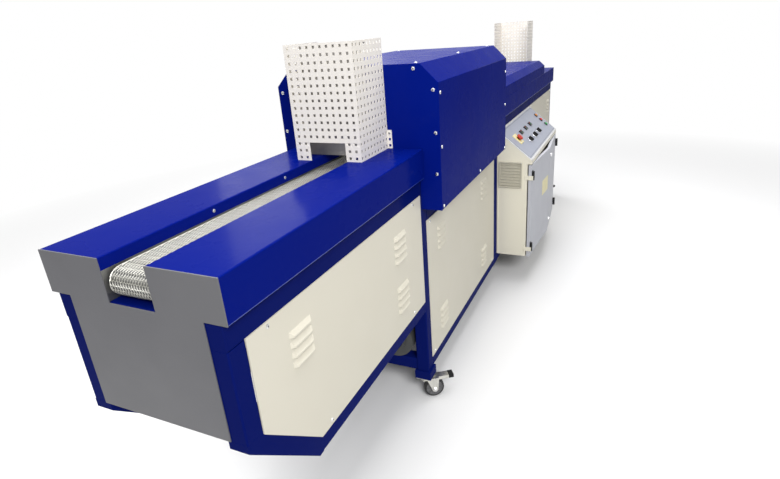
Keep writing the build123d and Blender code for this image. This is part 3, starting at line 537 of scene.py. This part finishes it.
def belt_place(distance, side):
    """Middle, running direction and outward direction of the belt, by the distance past the top of the
    entry (-1) or the exit (1) roller."""
    if distance <= 0:
        point = Vector((side * (roller_x + distance), belt_y, loop_z + loop_radius))
        return point, Vector((side, 0, 0)), Vector((0, 0, 1))
    angle = min(distance / loop_radius, math.pi)
    out = Vector((side * math.sin(angle), 0, math.cos(angle)))
    run = Vector((side * math.cos(angle), 0, -math.sin(angle)))
    past = max(distance - math.pi * loop_radius, 0)
    return Vector((side * roller_x, belt_y, loop_z)) + loop_radius * out + past * run, run, out


def wire_between(vertices, faces, points, radius):
    """Add a four-sided wire through the points to a list of vertices and a list of faces."""
    start = len(vertices)
    for index, point in enumerate(points):
        before, after = points[max(index - 1, 0)], points[min(index + 1, len(points) - 1)]
        course = (after - before).normalized()
        across = course.cross(Vector((0, 0, 1)) if abs(course.z) < 0.9 else Vector((1, 0, 0))).normalized()
        second = course.cross(across)
        vertices.extend(point + radius * (u * across + v * second) for u, v in WIRE_SIDES)
    for index in range(len(points) - 1):
        first = start + 4 * index
        for corner in range(4):
            after = (corner + 1) % 4
            faces.append((first + corner, first + after, first + 4 + after, first + 4 + corner))
    faces.append(tuple(range(start + 3, start - 1, -1)))
    faces.append(tuple(range(len(vertices) - 4, len(vertices))))


def woven_rows(vertices, faces, side, first_x):
    """Spiral rows and their cross rods from a place on the top run round the end roller."""
    rows = int((roller_x - side * first_x + math.pi * loop_radius) / ROW_PITCH) + 2
    start = side * first_x - roller_x
    turns = int(2 * (belt_half - EDGE_GAP) / TURN_PITCH)
    swing, rise = (ROW_PITCH + 2 * WIRE) / 2, BELT_SHEET / 2 - WIRE
    for row in range(rows):
        centre, run, out = belt_place(start + row * ROW_PITCH, side)
        lean = 1 if row % 2 else -1
        points = []
        for step in range(turns * TURN_STEPS + 1):
            angle = 2 * math.pi * (step / TURN_STEPS + 0.25 * lean)
            y = lean * (step / TURN_STEPS - turns / 2) * TURN_PITCH
            points.append(centre + swing * math.cos(angle) * run + rise * math.sin(angle) * out
                          + Vector((0, y, 0)))
        wire_between(vertices, faces, points, WIRE)
        rod, _, _ = belt_place(start + (row + 0.5) * ROW_PITCH, side)
        reach = Vector((0, belt_half - EDGE_GAP, 0))
        wire_between(vertices, faces, [rod - reach, rod + reach], WIRE)


def edge_wires(vertices, faces, side, first_x):
    """Straight edge wires along both sides of the belt, over the same stretch as the woven rows."""
    stops = [side * first_x - roller_x]
    stops += [math.pi * loop_radius * step / ROUND_STEPS - EDGE_START for step in range(ROUND_STEPS + 1)]
    for edge in (EDGE_GAP - belt_half, belt_half - EDGE_GAP):
        points = [belt_place(stop, side)[0] + Vector((0, edge, 0)) for stop in stops]
        wire_between(vertices, faces, points, 1.5 * WIRE)


vertices, faces = [], []
for add_wires in (edge_wires, woven_rows):
    add_wires(vertices, faces, -1, hood_x)
    add_wires(vertices, faces, 1, cooling_x)
mesh = bpy.data.meshes.new("belt_wires")
mesh.from_pydata(vertices, [], faces)
bm = bmesh.new()
bm.from_mesh(mesh)
bpy.data.meshes.remove(mesh)
belt_wires = piece_from(bm, "belt_wires", wire_steel)
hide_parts("mesh_belt")
bm = bmesh.new()
ribbon_half, ribbon = belt_half - EDGE_GAP, BELT_SHEET / 2 - WIRE
for start_x, end_x, z in ((hood_x, cooling_x, loop_z + loop_radius),
                          (-roller_x, roller_x, loop_z - loop_radius)):
    block(bm, (start_x, belt_y - ribbon_half, z - ribbon), (end_x, belt_y + ribbon_half, z + ribbon),
          Matrix(), bevel=0.0005)
piece_from(bm, "belt_ribbon", weave)


# Rolled hems along the lower edges of the table covers' skirts, in a lighter, glossier blue than the covers:
# the fold is real, its lighter colour a painted highlight
HEM_RADIUS = 0.0020
HEM_INSET = 0.001
bm = bmesh.new()
for name in ("entry_covers", "exit_covers"):
    low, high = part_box(name)
    for y in (low.y + HEM_RADIUS, high.y - HEM_RADIUS):
        hem = facing((low.x + HEM_INSET, y, low.z + HEM_RADIUS), (1, 0, 0))
        length = high.x - low.x - 2 * HEM_INSET
        lathe(bm, [(0, 0), (HEM_RADIUS, 0.0005), (HEM_RADIUS, length - 0.0005), (0, length)], hem, 12)
piece_from(bm, "skirt_hems", highlight_blue, smooth=50)


# Screws that hold the panels and the hood
def panel_places():
    """Where the side panels are screwed to the frame, as (x, z): near the corners of each panel."""
    low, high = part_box("front_panels")
    upper, middle, lower, foot = high.z - 0.010, high.z - 0.118, 0.460, low.z + 0.012
    entry, entry_foot = low.x + 0.065, low.x + 0.240
    hot_start, hot_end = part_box("hood")[0].x + 0.064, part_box("hood")[1].x + 0.038
    cabinet_end, exit_x = 1.05, high.x - 0.030
    entry_panel = [(entry, upper), (hot_start - 0.150, upper), (entry_foot, lower),
                   (hot_start - 0.180, lower)]
    hot_panel = [(hot_start, middle), (hot_end, middle), (hot_start, foot), (hot_end, foot)]
    exit_panel = [(hot_end + 0.132, upper), (exit_x, upper), (exit_x, foot), (cabinet_end, foot),
                  (cabinet_end, upper)]
    return entry_panel + hot_panel + exit_panel


hood_low, hood_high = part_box("hood")
plate_low, plate_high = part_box("hood_end_plates")
panel_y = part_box("side_rails")[0].y - 0.003
HOOD_SCREWS = ((0.014, 1.174), (0.014, 1.005), (0.016, 0.806), (0.468, 0.806), (0.894, 0.806),
               (0.895, 1.005), (0.895, 1.150))        # along the hood from its entry end, and height
HOOD_TOP_SCREWS, HOOD_TOP_REACH = (0.028, 0.460, 0.881), 0.214
HOOD_END_SCREWS = ((0.216, 1.248), (0.278, 1.184), (0.281, 1.052), (0.280, 0.919))
side_screws = [(x, panel_y, z) for x, z in panel_places()]
side_screws += [(hood_low.x + along, hood_low.y, z) for along, z in HOOD_SCREWS]
top_screws = [(hood_low.x + along, belt_y - HOOD_TOP_REACH, hood_high.z) for along in HOOD_TOP_SCREWS]
end_screws = [(belt_y - reach, z) for reach, z in HOOD_END_SCREWS]


def mirrored(place):
    """The same place on the other side of the belt."""
    return (place[0], 2 * belt_y - place[1], place[2])


spots = []
for place in side_screws:
    spots.append((place, (0, -1, 0)))
    spots.append((mirrored(place), (0, 1, 0)))
for place in top_screws:
    spots.append((place, (0, 0, 1)))
    spots.append((mirrored(place), (0, 0, 1)))
for y, z in end_screws:
    for place in ((plate_low.x, y, z), mirrored((plate_low.x, y, z))):
        spots.append((place, (-1, 0, 0)))
    for place in ((plate_high.x, y, z), mirrored((plate_high.x, y, z))):
        spots.append((place, (1, 0, 0)))
bm = bmesh.new()
for count, (origin, normal) in enumerate(spots):
    up = (1, 0, 0) if normal[2] else (0, 0, 1)
    screw(bm, shifted(facing(origin, normal, up), turn=0.7 * count))
# Black here fills the screws' crossed recesses: painted shade
piece_from(bm, "panel_screws", (screw_metal, black_plastic_and_recess_shade), smooth=40)

# Screws in the trough's inner lips
LIP_HALF, LIP_SCREW_DROP = 0.063, 0.014
TROUGH_SCREWS = (-1.55, -1.25, 1.72)
bm = bmesh.new()
for x in TROUGH_SCREWS:
    for side in (-1, 1):
        spot = facing((x, belt_y + side * LIP_HALF, table_z - LIP_SCREW_DROP), (0, -side, 0))
        screw(bm, spot, 0.004, 0.002)
# Black here fills the screws' crossed recesses: painted shade
piece_from(bm, "trough_screws", (screw_metal, black_plastic_and_recess_shade), smooth=40)


# Casters: tyre and spoked hub, axle nuts, plate bolts and the rubber tip of the brake lever
TYRE = ((0.0325, 0.0120), (0.0345, 0.0138), (0.0370, 0.0134), (0.0389, 0.0108), (0.0398, 0.0060))
RIM = ((0.0325, 0.0122), (0.0305, 0.0128), (0.0292, 0.0080), (0.0140, 0.0080), (0.0128, 0.0110),
       (0.0110, 0.0165), (0.0068, 0.0168))
BORE = 0.0058
SPOKES = 8
SPOKE_HALF = 0.0011
NUT_REACH = 0.0235                # from the wheel's middle
TIP_HALF, TIP_START, TIP_END = 0.0158, 0.088, 0.1088
TIP_FOOT, TIP_TOP = 0.0760, 0.0915
BOLT_REACH, PLATE_FOOT = 0.024, 0.097
RACE = ((0.0232, 0.0905), (0.0246, 0.0912), (0.0250, 0.0930), (0.0246, 0.0948), (0.0232, 0.0955))


def both_sides(half):
    """A profile from one side of the wheel to the other."""
    return list(half) + [(radius, -height) for radius, height in reversed(half)]


def caster_wheel(place):
    """Tyre, rim with spokes and bearing sleeve of one wheel."""
    roll = joints[f"roll_{place}"]
    hub = facing(roll["pos_m"], roll["axis"])
    bm = bmesh.new()
    tyre = both_sides(TYRE)
    lathe(bm, tyre + [tyre[0]], hub, 48, 0)
    lathe(bm, both_sides(RIM), hub, 48, 1)
    sleeve, sleeve_half = RIM[-1]
    lathe(bm, [(sleeve, sleeve_half), (BORE, sleeve_half), (BORE, -sleeve_half), (sleeve, -sleeve_half)],
          hub, 48, 2)
    for side in (1, -1):
        low, high = sorted((side * 0.0078, side * 0.0112))
        for number in range(SPOKES):
            spoke = shifted(hub, turn=2 * math.pi * number / SPOKES)
            block(bm, (0.0130, -SPOKE_HALF, low), (0.0296, SPOKE_HALF, high), spoke, 1, 0.0003)
    made = piece_from(bm, f"wheel_{place}", (rubber, hub_plastic, zinc), f"wheel_{place}", 35)
    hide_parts(f"caster_wheel_{place}")


def caster_fittings(place):
    """Axle nuts, brake tip and swivel race, which turn with the fork."""
    swivel, roll = joints[f"swivel_{place}"], joints[f"roll_{place}"]
    pivot, hub = Vector(swivel["pos_m"]), Vector(roll["pos_m"])
    ahead = Vector((hub.x - pivot.x, hub.y - pivot.y, 0)).normalized()
    bm = bmesh.new()
    for side in (1, -1):
        axis = side * Vector(roll["axis"])
        hexagon(bm, facing(hub + NUT_REACH * axis, axis), 0.013, 0.006)
    piece_from(bm, f"axle_nuts_{place}", screw_metal, f"fork_{place}", 35)
    bm = bmesh.new()
    lever = facing((pivot.x, pivot.y, 0.0), ahead)
    block(bm, (-TIP_HALF, TIP_FOOT, TIP_START), (TIP_HALF, TIP_TOP, TIP_END), lever, 0, 0.0022)
    for ridge in range(3):
        start = TIP_START + 0.0035 + 0.0045 * ridge
        block(bm, (-0.012, TIP_TOP - 0.0003, start), (0.012, TIP_TOP + 0.0009, start + 0.0022),
              lever, 0, 0.0004)
    piece_from(bm, f"brake_tip_{place}", black_plastic_and_recess_shade, f"fork_{place}", 35)
    bm = bmesh.new()
    race = facing((pivot.x, pivot.y, 0.0), (0, 0, 1), (1, 0, 0))
    lathe(bm, RACE, race, 32)
    piece_from(bm, f"swivel_race_{place}", zinc, f"fork_{place}", 35)


for place in CASTERS:
    caster_wheel(place)
    caster_fittings(place)
bm = bmesh.new()
for place in CASTERS:
    x, y, _ = joints[f"swivel_{place}"]["pos_m"]
    for dx in (-BOLT_REACH, BOLT_REACH):
        for dy in (-BOLT_REACH, BOLT_REACH):
            hexagon(bm, facing((x + dx, y + dy, PLATE_FOOT), (0, 0, -1), (1, 0, 0)), 0.009, 0.0035)
piece_from(bm, "caster_bolts", screw_metal, smooth=35)


# Console: its plane lies a little below the knobs' pivots
KNOB_PIVOT_RISE = 0.008
console_low, console_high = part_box("console_panel")
knob_joints = [joints[f"knob_{number}_turn"] for number in (1, 2, 3)]
console_normal = Vector(knob_joints[0]["axis"]).normalized()
console_origin = Vector(knob_joints[0]["pos_m"]) - KNOB_PIVOT_RISE * console_normal
console = facing(console_origin, console_normal)
console_left = (console.inverted() @ Vector((console_low.x, console_low.y, console_high.z))).x
console_foot = (console_low.y - console_origin.y) / console.col[1].y
console_width = console_high.x - console_low.x
console_reach = (console_high.y - console_low.y) / console.col[1].y
console = shifted(console, console_left, console_foot)


def on_console(point):
    """A point in the console's own frame: along it, up its slope and out of it."""
    return console.inverted() @ Vector(point)


# Grey-blue foil with a printed border line, held by a screw in each corner of the console's rim
FOIL = 0.0005
FOIL_MARGIN, LINE_MARGIN = 0.009, 0.006
LINE = 0.0016
CONSOLE_SCREW_INSET = 0.0045
bm = bmesh.new()
inner = FOIL_MARGIN + LINE_MARGIN
right, top = console_width - inner, console_reach - inner
block(bm, (FOIL_MARGIN, FOIL_MARGIN, 0),
      (console_width - FOIL_MARGIN, console_reach - FOIL_MARGIN, FOIL), console)
for low, high in (((inner, inner), (right, inner + LINE)), ((inner, top - LINE), (right, top)),
                  ((inner, inner), (inner + LINE, top)), ((right - LINE, inner), (right, top))):
    block(bm, (*low, FOIL), (*high, FOIL * 1.5), console, 1)
piece_from(bm, "console_foil", (foil_blue, outline_grey))
bm = bmesh.new()
for x in (CONSOLE_SCREW_INSET, console_width - CONSOLE_SCREW_INSET):
    for y in (CONSOLE_SCREW_INSET, console_reach - CONSOLE_SCREW_INSET):
        screw(bm, shifted(console, x, y, turn=x + y), 0.003, 0.0016)
# Black here fills the screws' crossed recesses: painted shade
piece_from(bm, "console_screws", (screw_metal, black_plastic_and_recess_shade), smooth=40)

# Emergency stop: a mushroom head with three arrows on a black stem, in a yellow collar on its plate
STOP_PLATE = 0.003
STOP_SCREW_REACH = 0.027
MUSHROOM = ((0.0098, 0.0093), (0.0098, 0.0102), (0.0150, 0.0104), (0.0172, 0.0118), (0.0179, 0.0140),
            (0.0178, 0.0165), (0.0166, 0.0195), (0.0140, 0.0219), (0.0100, 0.0233), (0.0050, 0.0239),
            (0, 0.0240))
stop_low, stop_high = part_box("emergency_stop")
stop_centre = on_console((stop_low + stop_high) / 2)
stop_place = shifted(console, stop_centre.x, stop_centre.y)
bm = bmesh.new()
lathe(bm, MUSHROOM, stop_place, 48)
for arrow in range(3):
    spot = shifted(stop_place, turn=2 * math.pi * arrow / 3)
    block(bm, (-0.004, 0.0108, 0.0216), (0.004, 0.0122, 0.0226), spot, 1, 0.0003)
made = piece_from(bm, "stop_mushroom", (red_plastic, white_plastic), "stop_button", 40)
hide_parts("emergency_stop")
bm = bmesh.new()
lathe(bm, [(0.0106, 0.0020), (0.0106, 0.0040), (0.0152, 0.0040), (0.0166, 0.0034), (0.0170, 0.0020)],
      stop_place, 40, 0)
lathe(bm, [(0.0088, 0.0010), (0.0088, 0.0094), (0.0080, 0.0098), (0, 0.0098)], stop_place, 32, 1)
for x in (-STOP_SCREW_REACH, STOP_SCREW_REACH):
    for y in (-STOP_SCREW_REACH, STOP_SCREW_REACH):
        screw(bm, shifted(stop_place, x, y, STOP_PLATE, x * 90), 0.0024, 0.0013)
# Black here is the stem, and it also fills the screws' crossed recesses as painted shade
piece_from(bm, "stop_collar", (yellow_plastic, black_plastic_and_recess_shade), smooth=40)

# Temperature displays: a dark window with two rows of seven-segment figures, and three keys
SEGMENTS = {"0": "abcdef", "1": "bc", "2": "abged", "3": "abgcd", "4": "fgbc", "5": "afgcd", "6": "afgedc",
            "7": "abc", "8": "abcdefg", "9": "abcdfg"}
DISPLAY_ROWS = (("185", "180"), ("210", "210"), ("064", "065"))


def figure(bm, matrix, text, height, slot):
    """Seven-segment figures, centred on the matrix."""
    width, gap = height * 0.5, height * 0.3
    thick = height * 0.13
    half, quarter = width / 2, height / 4
    bars = {"a": (0, height / 2, 1), "g": (0, 0, 1), "d": (0, -height / 2, 1), "f": (-half, quarter, 0),
            "b": (half, quarter, 0), "e": (-half, -quarter, 0), "c": (half, -quarter, 0)}
    for place, character in enumerate(text):
        centre = (place - (len(text) - 1) / 2) * (width + gap)
        for segment in SEGMENTS[character]:
            x, y, level = bars[segment]
            long, wide = (width * 0.42, thick / 2) if level else (thick / 2, height * 0.21)
            block(bm, (centre + x - long, y - wide, 0), (centre + x + long, y + wide, 0.0002), matrix, slot)


DISPLAY_HALF, DISPLAY_RISE = 0.022, 0.005
GLASS_HALF, GLASS_FOOT, GLASS_TOP, GLASS = 0.0185, -0.0070, 0.0108, 0.0003
KEY_STEP, KEY_HALF, KEY_FOOT, KEY_TOP = 0.011, 0.0033, -0.0116, -0.0086
MIDDLE_SHIFT = 0.011              # of the middle display from the knob below it
display_low, display_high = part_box("displays")
display_row = on_console((display_low + display_high) / 2).y
first, last = display_low.x - console_low.x + DISPLAY_HALF, display_high.x - console_low.x - DISPLAY_HALF
middle = on_console(knob_joints[1]["pos_m"]).x - MIDDLE_SHIFT
bm = bmesh.new()
for x, (upper, lower) in zip((first, middle, last), DISPLAY_ROWS):
    face = shifted(console, x, display_row, DISPLAY_RISE)
    block(bm, (-GLASS_HALF, GLASS_FOOT, 0), (GLASS_HALF, GLASS_TOP, GLASS), face, 0)
    figure(bm, shifted(face, 0, 0.0062, GLASS), upper, 0.0064, 1)
    figure(bm, shifted(face, 0, -0.0028, GLASS), lower, 0.0048, 2)
    for key in (-KEY_STEP, 0, KEY_STEP):
        block(bm, (key - KEY_HALF, KEY_FOOT, 0), (key + KEY_HALF, KEY_TOP, 0.0007), face, 3, 0.0003)
piece_from(bm, "display_windows", (display_face, red_digit, green_digit, grey_plastic))

# Selector knobs: chrome bezels that stay, and a white pointer on each knob
bm = bmesh.new()
for joint in knob_joints:
    place = on_console(joint["pos_m"])
    lathe(bm, [(0.0170, 0), (0.0170, 0.0016), (0.0162, 0.0027), (0.0154, 0.0030), (0.0150, 0.0022),
               (0, 0.0022)], shifted(console, place.x, place.y), 40)
made = piece_from(bm, "selector_bezels", chrome, smooth=40)
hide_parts("knob_bezels")
for number, joint in enumerate(knob_joints, start=1):
    place = on_console(joint["pos_m"])
    bm = bmesh.new()
    block(bm, (-0.0009, 0.0030, 0.0174), (0.0009, 0.0140, 0.0177), shifted(console, place.x, place.y), 0)
    piece_from(bm, f"knob_pointer_{number}", white_plastic, f"knob_{number}")

# Pilot lamps: a black ring with a domed, ribbed lens
LAMP_ROWS = (0.151, 0.111, 0.070)
LENS_RADIUS, LENS_SHOULDER, LENS_DOME = 0.0093, 0.0080, 0.0038
LENS_RIBS = 18
lamp_low, lamp_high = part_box("pilot_lamps")
lamp_x = (lamp_low.x + lamp_high.x) / 2 - console_low.x
rings = bmesh.new()
for count, (row, look) in enumerate(zip(LAMP_ROWS, (amber_lens, red_lens, green_lens)), start=1):
    spot = shifted(console, lamp_x, row)
    lathe(rings, [(0.0140, 0), (0.0140, 0.0026), (0.0128, 0.0040), (0.0096, 0.0042), (0.0094, 0.0020)],
          spot, 36)
    bm = bmesh.new()
    dome = [(LENS_RADIUS, 0.0015), (LENS_RADIUS, LENS_SHOULDER)]
    dome += [(LENS_RADIUS * math.cos(a), LENS_SHOULDER + LENS_DOME * math.sin(a))
             for a in (0.35, 0.7, 1.05, 1.35)]
    lathe(bm, dome + [(0, LENS_SHOULDER + LENS_DOME)], spot, 36)
    for rib in range(LENS_RIBS):
        edge = shifted(spot, turn=2 * math.pi * rib / LENS_RIBS)
        block(bm, (0.0090, -0.0004, 0.0046), (0.0097, 0.0004, 0.0078), edge, 0, 0.0001)
    piece_from(bm, f"lamp_lens_{count}", look, smooth=40)
made = piece_from(rings, "lamp_rings", black_plastic_and_recess_shade, smooth=40)
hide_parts("pilot_lamps")

# Doors: a blank plate with four screws on the left leaf, and keyed round locks on the right one
AJAR = math.radians(4)
PLATE_START, PLATE_END = 0.030, 0.160        # from the leaf's free edge
PLATE_FOOT_Z, PLATE_TOP_Z = 0.268, 0.352     # from the leaf's foot
PLATE_FACE, PLATE_SCREW_INSET = 0.0009, 0.006
LOCK_RADIUS, LOCK_DEPTH = 0.011, 0.0035
left_normal = (-math.sin(AJAR), -math.cos(AJAR), 0)
right_normal = (math.sin(AJAR), -math.cos(AJAR), 0)
left_low, left_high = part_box("left_door")
leaf = facing((left_high.x, left_low.y, left_low.z), left_normal)
inward = 1 if leaf.col[0].x < 0 else -1
bm = bmesh.new()
x0, x1 = sorted((inward * PLATE_START, inward * PLATE_END))
block(bm, (x0, PLATE_FOOT_Z, 0.0001), (x1, PLATE_TOP_Z, PLATE_FACE), leaf, 0, 0.0003)
for x in (x0 + PLATE_SCREW_INSET, x1 - PLATE_SCREW_INSET):
    for z in (PLATE_FOOT_Z + PLATE_SCREW_INSET, PLATE_TOP_Z - PLATE_SCREW_INSET):
        screw(bm, shifted(leaf, x, z, PLATE_FACE - 0.0001), 0.0022, 0.0010)
piece_from(bm, "door_plate", (pale_yellow, screw_metal), "left_leaf")

lock_low, lock_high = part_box("door_locks")
lock_x, lock_y = (lock_low.x + lock_high.x) / 2, (lock_low.y + lock_high.y) / 2
bm = bmesh.new()
for z in (lock_low.z + LOCK_RADIUS, lock_high.z - LOCK_RADIUS):
    spot = shifted(facing((lock_x, lock_y, z), right_normal), z=-LOCK_DEPTH)
    lathe(bm, [(0.0110, 0), (0.0110, 0.0030), (0.0100, 0.0042), (0.0088, 0.0044), (0.0086, 0.0036),
               (0.0072, 0.0036), (0.0070, 0.0066), (0.0060, 0.0070), (0, 0.0070)], spot, 36)
    # A black sliver on the lock face for the keyway: painted shade
    block(bm, (-0.0008, -0.0040, 0.0068), (0.0008, 0.0040, 0.0070), spot, 1)
made = piece_from(bm, "round_locks", (chrome, keyway_shade), "right_leaf", 40)
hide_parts("door_locks")

# Screws in the corners of the vent grille
GRILLE_SCREW_INSET = 0.0035
grille_low, grille_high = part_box("side_grille")
bm = bmesh.new()
for y in (grille_low.y + GRILLE_SCREW_INSET, grille_high.y - GRILLE_SCREW_INSET):
    for z in (grille_low.z + GRILLE_SCREW_INSET, grille_high.z - GRILLE_SCREW_INSET):
        screw(bm, shifted(facing((grille_low.x, y, z), (-1, 0, 0)), turn=z * 50), 0.0025, 0.0012)
# Black here fills the screws' crossed recesses: painted shade
piece_from(bm, "grille_screws", (screw_metal, black_plastic_and_recess_shade), smooth=40)


# Floor and backdrop: pale, lit near the machine, plain white to the camera farther out
LIT_RADIUS, WHITE_RADIUS = 2.4, 4.6
BOUNCE = (0.42, 0.42, 0.42)       # what the floor gives back to the machine
ground = Shader("pale_floor", (0.86, 0.86, 0.86), 0.9)
ground.set(Specular_IOR_Level=0.1)
path = ground.add("ShaderNodeLightPath")
seen = ground.math("MAXIMUM", path.outputs["Is Camera Ray"], path.outputs["Is Glossy Ray"])
seen = ground.math("MAXIMUM", seen, path.outputs["Is Transmission Ray"])
tone = ground.blend(ground.noise(0.8, 3.0), (0.88, 0.88, 0.88), (0.86, 0.86, 0.865))
ground.colour(ground.blend(seen, BOUNCE, tone))
away = ground.add("ShaderNodeVectorMath", operation="LENGTH")
ground.link(ground.place, away.inputs[0])
far = ground.ramp(away.outputs["Value"], LIT_RADIUS, WHITE_RADIUS, 0.0, 1.0)
white = ground.add("ShaderNodeEmission")
mixed = ground.add("ShaderNodeMixShader")
ground.link(ground.math("MULTIPLY", far, path.outputs["Is Camera Ray"]), mixed.inputs["Fac"])
ground.link(ground.shader.outputs["BSDF"], mixed.inputs[1])
ground.link(white.outputs["Emission"], mixed.inputs[2])
ground.link(mixed.outputs["Shader"], ground.tree.nodes["Material Output"].inputs["Surface"])
bm = bmesh.new()
bmesh.ops.create_grid(bm, x_segments=1, y_segments=1, size=60)
mesh = bpy.data.meshes.new("floor")
bm.to_mesh(mesh)
bm.free()
mesh.materials.append(ground.material)
floor = bpy.data.objects.new("floor", mesh)
scene.collection.objects.link(floor)

# World: white where it is seen, directly, in glass or in gloss, and soft light elsewhere
AMBIENT = 0.36                    # the world's strength as light on the machine
world = bpy.data.worlds.new("studio")
scene.world = world
world.use_nodes = True
tree = world.node_tree
background = tree.nodes["Background"]
background.inputs["Color"].default_value = (1, 1, 1, 1)
path = tree.nodes.new("ShaderNodeLightPath")
direct = tree.nodes.new("ShaderNodeMath")
direct.operation = "MAXIMUM"
tree.links.new(path.outputs["Is Camera Ray"], direct.inputs[0])
tree.links.new(path.outputs["Is Transmission Ray"], direct.inputs[1])
seen = tree.nodes.new("ShaderNodeMath")
seen.operation = "MAXIMUM"
tree.links.new(direct.outputs["Value"], seen.inputs[0])
tree.links.new(path.outputs["Is Glossy Ray"], seen.inputs[1])
level = tree.nodes.new("ShaderNodeMapRange")
level.inputs["To Min"].default_value = AMBIENT
level.inputs["To Max"].default_value = 1.0
tree.links.new(seen.outputs["Value"], level.inputs["Value"])
tree.links.new(level.outputs["Result"], background.inputs["Strength"])


def softbox(name, place, target, size, energy):
    """A rectangular studio lamp at a place, turned towards a target."""
    lamp = bpy.data.lights.new(name, "AREA")
    lamp.shape = "RECTANGLE"
    lamp.size, lamp.size_y = size
    lamp.energy = energy
    made = bpy.data.objects.new(name, lamp)
    made.location = place
    made.rotation_euler = (Vector(target) - Vector(place)).to_track_quat("-Z", "Y").to_euler()
    scene.collection.objects.link(made)


softbox("overhead", (-0.2, 0.4, 4.0), (-0.2, 0.06, 0.5), (5.0, 3.5), 200)
softbox("key", (-3.9, -2.5, 3.3), (-0.2, 0.0, 0.6), (1.8, 1.2), 165)
softbox("rear_fill", (3.2, 3.0, 3.0), (0.2, 0.0, 0.6), (2.4, 1.8), 60)

# Camera fitted to the photograph: heading, tilt and roll in degrees, lens and sensor in millimetres
CAMERA_PLACE = (-2.4686, -0.7903, 1.3696)
HEADING, TILT, ROLL = -64.045, -21.917, 4.352
FOCAL_LENGTH, SENSOR_WIDTH = 24.26, 36.0
camera_data = bpy.data.cameras.new("camera")
camera_data.sensor_width = SENSOR_WIDTH
camera_data.lens = FOCAL_LENGTH
camera_data.clip_start = 0.05
camera = bpy.data.objects.new("camera", camera_data)
scene.collection.objects.link(camera)
turn = Matrix.Rotation(math.radians(HEADING), 3, "Z") @ Matrix.Rotation(math.radians(TILT), 3, "X")
turn = turn @ Matrix.Rotation(math.radians(ROLL), 3, "Y")
right, ahead, upward = turn.col[0], turn.col[1], turn.col[2]
camera.matrix_world = Matrix.Translation(CAMERA_PLACE) @ Matrix((right, upward, -ahead)).transposed().to_4x4()
scene.camera = camera
scene.view_settings.view_transform = "Standard"
